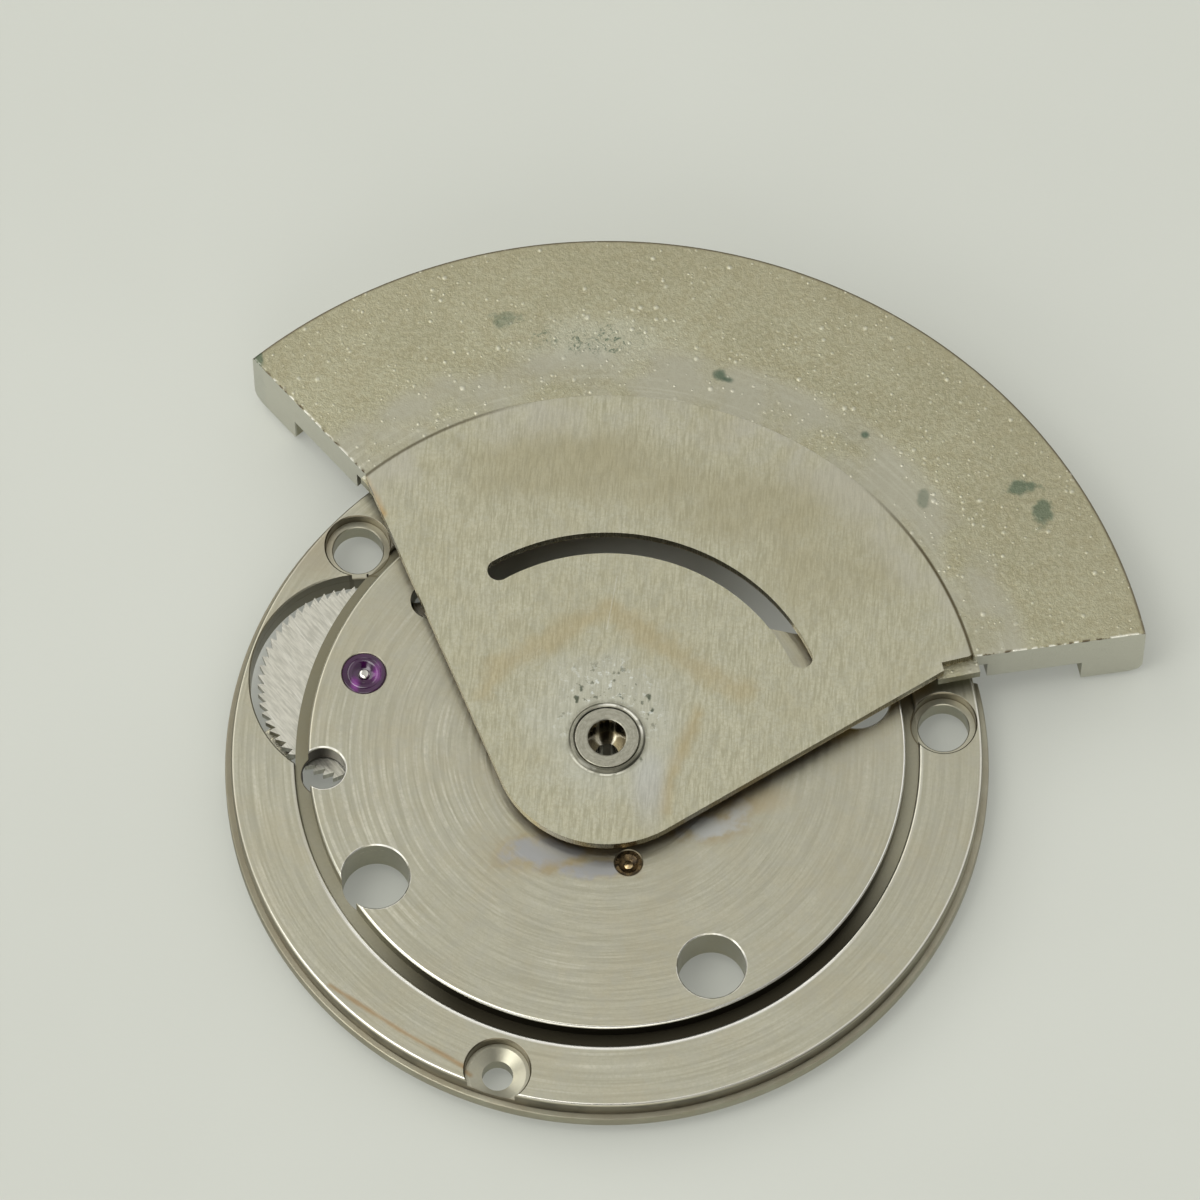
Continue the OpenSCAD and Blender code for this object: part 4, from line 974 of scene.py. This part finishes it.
# Hazy along the seam, dark round the hub and at the seam's ends, and a painted highlight round the foot
# of the hub's rim at the front
parts, level, out = about_axis(place)
haze = times(fade(out, 7.4, 8.5), fade(cloud(place, 0.6, 3.0), 0.36, 0.60), 0.6)
colour = tinted(haze, (0.42, 0.405, 0.335))
halo = times(fall(out, 0.90, 1.02), fade(cloud(place, 3.0, 3.0), 0.35, 0.6, 0.3, 0.8))
colour = tinted(halo, (0.25, 0.245, 0.19))
# Painted highlight just outside the hub's rim, at the front
hub_foot_highlight = times(fade(towards((-0.35, -0.93)), 0.55, 0.85, 0.0, 0.8), within(out, 0.90, 0.945, 0.012),
                fade(cloud(place, 4.0, 3.0), 0.38, 0.5, 0.2, 1.0))
colour = tinted(hub_foot_highlight, (0.76, 0.75, 0.64))


def by_seam_ends():
    """A share that rises towards both ends of the seam."""
    return most(fade(parts[0], 5.6, 7.6), fade(parts[0], -3.8, -1.4, 0.8, 0.0))


seam_dark = (0.10, 0.085, 0.05)
colour = tinted(times(fade(out, 8.675, 8.73), by_seam_ends()), seam_dark)

# The sheet's edge faces are painted dark brown as painted shade, with a painted glint along their foot,
# and the underside is golden with oil
side = times(fall(parts[2], 2.235, 2.246), fade(parts[2], 1.99, 2.0))
# Painted shade on the sheet's edge faces
colour = tinted(times(side, 0.6), (0.20, 0.16, 0.085))
glint = times(fall(parts[2], 2.03, 2.05), fade(cloud(place, 3.0, 3.0), 0.38, 0.56),
              fade(out, 4.0, 4.5))
colour = tinted(times(glint, 0.8), (0.66, 0.58, 0.41))
oily = blend(marks["Lines"], (0.40, 0.26, 0.07), (0.50, 0.34, 0.10))
colour = tinted(fall(parts[2], 1.991, 1.997), oily)
rough = minus(fade(marks["Lines"], 0.0, 1.0, 0.32, 0.42), times(side, 0.12))
cover(colour, rough, plus(marks["Lines"], times(flecks, near_hub, 5.0)))
settle(sheet, "rotor", "rotor_sheet_metal", brushed_nickel, "rotor_sheet")

# ---- Rotor weight
# The heavy rim that drives the rotor: dense metal turned with a stepped underside,
# cut off square-ended at both sides, then blasted and nickel-plated.

rotor_r, band_r, lip_low = 12.8, 11.35, sheet_low - 0.27
step_low, weight_low = rotor_high - 1.22, rotor_high - 2.08
weight = turned("weight", [
    (8.747, lip_low), (9.1, lip_low), (9.1, step_low), (band_r, step_low), (band_r, weight_low),
    (rotor_r - 0.3, weight_low), (rotor_r - 0.09, rotor_high - 1.99), (rotor_r, rotor_high - 1.78),
    (rotor_r, rotor_high - 0.05), (rotor_r - 0.015, rotor_high - 0.015), (rotor_r - 0.05, rotor_high),
    (8.747, rotor_high)], start=4.0, sweep=136.0)
right_end, right_way = polar(rotor_r, 11.9), 11.9 - 3.5
left_end, left_way = polar(rotor_r, 130.6), 130.6 + 1.2
shape = bmesh.new()
shape.from_mesh(weight.data)
for at, way in ((right_end, right_way - 90), (left_end, left_way + 90)):
    cut = bmesh.ops.bisect_plane(
        shape, geom=shape.verts[:] + shape.edges[:] + shape.faces[:], dist=1e-6, plane_co=(*at, 0.0),
        plane_no=(*polar(1.0, way), 0.0), clear_outer=True)
    edges = [part for part in cut["geom_cut"] if isinstance(part, bmesh.types.BMEdge)]
    bmesh.ops.contextual_create(shape, geom=edges)
bpy.data.objects.remove(weight)
weight = finish_mesh(shape, "weight")
lip = turned("lip", [(7.85, lip_low), (8.85, lip_low), (8.85, sheet_low), (7.85, sheet_low)],
             steps=200, start=11.6, sweep=119.0)
carve(weight, [lip], "UNION")

blasted_nickel, tree, place = new_finish("blasted nickel")
parts, level, out = about_axis(place)
tone = fade(cloud(place, 0.4, 5.0, 0.62), 0.35, 0.66)
colour = blend(tone, (0.325, 0.31, 0.208), (0.285, 0.27, 0.175))
grain = cloud(place, 9.5, 4.0, 0.75)
colour = tinted(fade(cloud(place, 2.3, 4.0, 0.65), 0.42, 0.62, 0.0, 0.5), (0.29, 0.265, 0.165))
colour = tinted(fade(grain, 0.40, 0.62, 0.0, 0.4), (0.43, 0.415, 0.305))
colour = tinted(fade(out, 11.4, 12.7, 0.0, 0.25), (0.29, 0.265, 0.17))
stretched = vector("MULTIPLY", place, (0.25, 0.25, 16.0))[0]
wall_lines = fade(cloud(stretched, 1.0, 3.0, 0.6), 0.35, 0.65)
colour = tinted(times(fade(out, 12.76, 12.78), wall_lines), (0.40, 0.385, 0.29))
# Painted shade: a dark line along the top of the rim's outer edge
outline = times(fade(out, 12.70, 12.77, 0.0, 0.75), fade(parts[2], 2.12, 2.19))
colour = tinted(outline, (0.17, 0.14, 0.09))
smooth = times(fall(out, 9.7, 10.3), fade(cloud(place, 0.7, 3.0), 0.3, 0.6))
colour = tinted(times(smooth, 0.65), (0.385, 0.375, 0.305))
# Painted highlight: bright bands of sheen from the turning marks on the smooth band
worn = use(turning, Place=place, Fineness=0.9)
colour = tinted(times(worn["Sheen arcs"], smooth, 0.25), (0.56, 0.545, 0.44))


def blisters(scale, crowd, size):
    """Small raised crystals, some cells of a loose pattern holding one each."""
    cells = add(tree, "ShaderNodeTexVoronoi", {"feature": "F1"}, Vector=place, Scale=scale,
                Randomness=1.0)
    luck = split(cells.outputs["Color"])
    share = calc("DIVIDE", cells.outputs["Distance"], times(plus(times(luck[1], 0.7), 0.3), size))
    return times(fall(share, 0.1, 1.0), calc("LESS_THAN", luck[0], crowd))


crowd = plus(fade(cloud(place, 0.45, 3.0), 0.36, 0.58, 0.15, 0.5), fade(out, 10.2, 11.4, 0.2, 0.0))
crowd = times(crowd, fade(smooth, 0.0, 1.0, 1.0, 0.4))
bumps = most(blisters(3.8, crowd, 0.34), times(blisters(7.0, crowd, 0.42), 0.7))
# The crystals are painted lighter, a painted highlight over their bumps
colour = tinted(times(bumps, 0.5), (0.62, 0.61, 0.51))

# Verdigris and old glue: loose spots, some broken up into crumbs
colour = stained((0.46, 0.47, 0.40), 0.3, (-0.2, 10.2), 0.8, (1.9, 0.7), 0.6, 1.4, 1.6)
crumbs = times(fade(cloud(place, 4.5, 5.0, 0.85, 1.5), 0.50, 0.60),
               fade(cloud(place, 1.6, 3.0, 0.6), 0.42, 0.56, 0.15, 1.0))
verdigris = (0.07, 0.11, 0.075)
for at, size, stretch, broken, loose in (
        ((-0.3, 10.25), 0.62, (1.9, 0.7), 1.0, 1.5), ((2.66, 9.27), 0.15, (1.0, 1.0), 0.0, 0.35),
        ((2.85, 9.15), 0.09, (1.6, 0.7), 0.0, 0.3), ((6.05, 7.72), 0.10, (0.9, 0.9), 0.0, 0.1),
        ((7.40, 6.10), 0.20, (0.7, 1.3), 0.45, 0.3), ((9.66, 6.36), 0.24, (1.3, 0.8), 0.12, 0.75),
        ((10.16, 5.75), 0.27, (0.75, 1.3), 0.15, 0.8), ((-8.28, 9.62), 0.32, (0.6, 1.4), 0.1, 0.6),
        ((-2.4, 10.71), 0.24, (1.5, 0.7), 0.5, 0.6)):
    spots = stain_mask(at, size, stretch, 0.04 + 0.10 * loose, loose, 3.4)
    spots = times(spots, minus(1.0, times(broken, minus(1.0, crumbs))), 0.82)
    colour = tinted(spots, verdigris)

# The cut end faces are painted light as a painted reflection, with dark chips and painted bright glints
# along their top edge
near_top = fade(parts[2], 2.20, 2.24)
seam_end = times(fall(out, 8.75, 8.80), by_seam_ends(), near_top)
ends = 0.0
for at, way in ((right_end, right_way + 180), (left_end, left_way + 180)):
    ends = most(ends, streak_mask(at, polar(4.0, way, at), 0.07, 0.05, 5.0))
# Painted reflection on the end faces
end_face_reflection = times(ends, minus(1.0, fade(parts[2], 2.235, 2.246)), 0.8)
colour = tinted(end_face_reflection, (0.66, 0.65, 0.575))
chips_and_glints = cloud(place, 5.0, 3.0)
ends = times(ends, near_top)
# Painted glints along the top edge, then dark chips
colour = tinted(times(ends, fade(chips_and_glints, 0.50, 0.58)), (0.80, 0.79, 0.70))
colour = tinted(times(ends, fade(chips_and_glints, 0.46, 0.40)), (0.10, 0.075, 0.045))
colour = tinted(seam_end, seam_dark)
height = plus(times(bumps, 0.45), times(grain, minus(0.75, times(smooth, 0.5))))
cover(colour, 0.38, height, 0.5, 0.00004)
settle(weight, "rotor", "weight_metal", blasted_nickel, "rotor_weight")
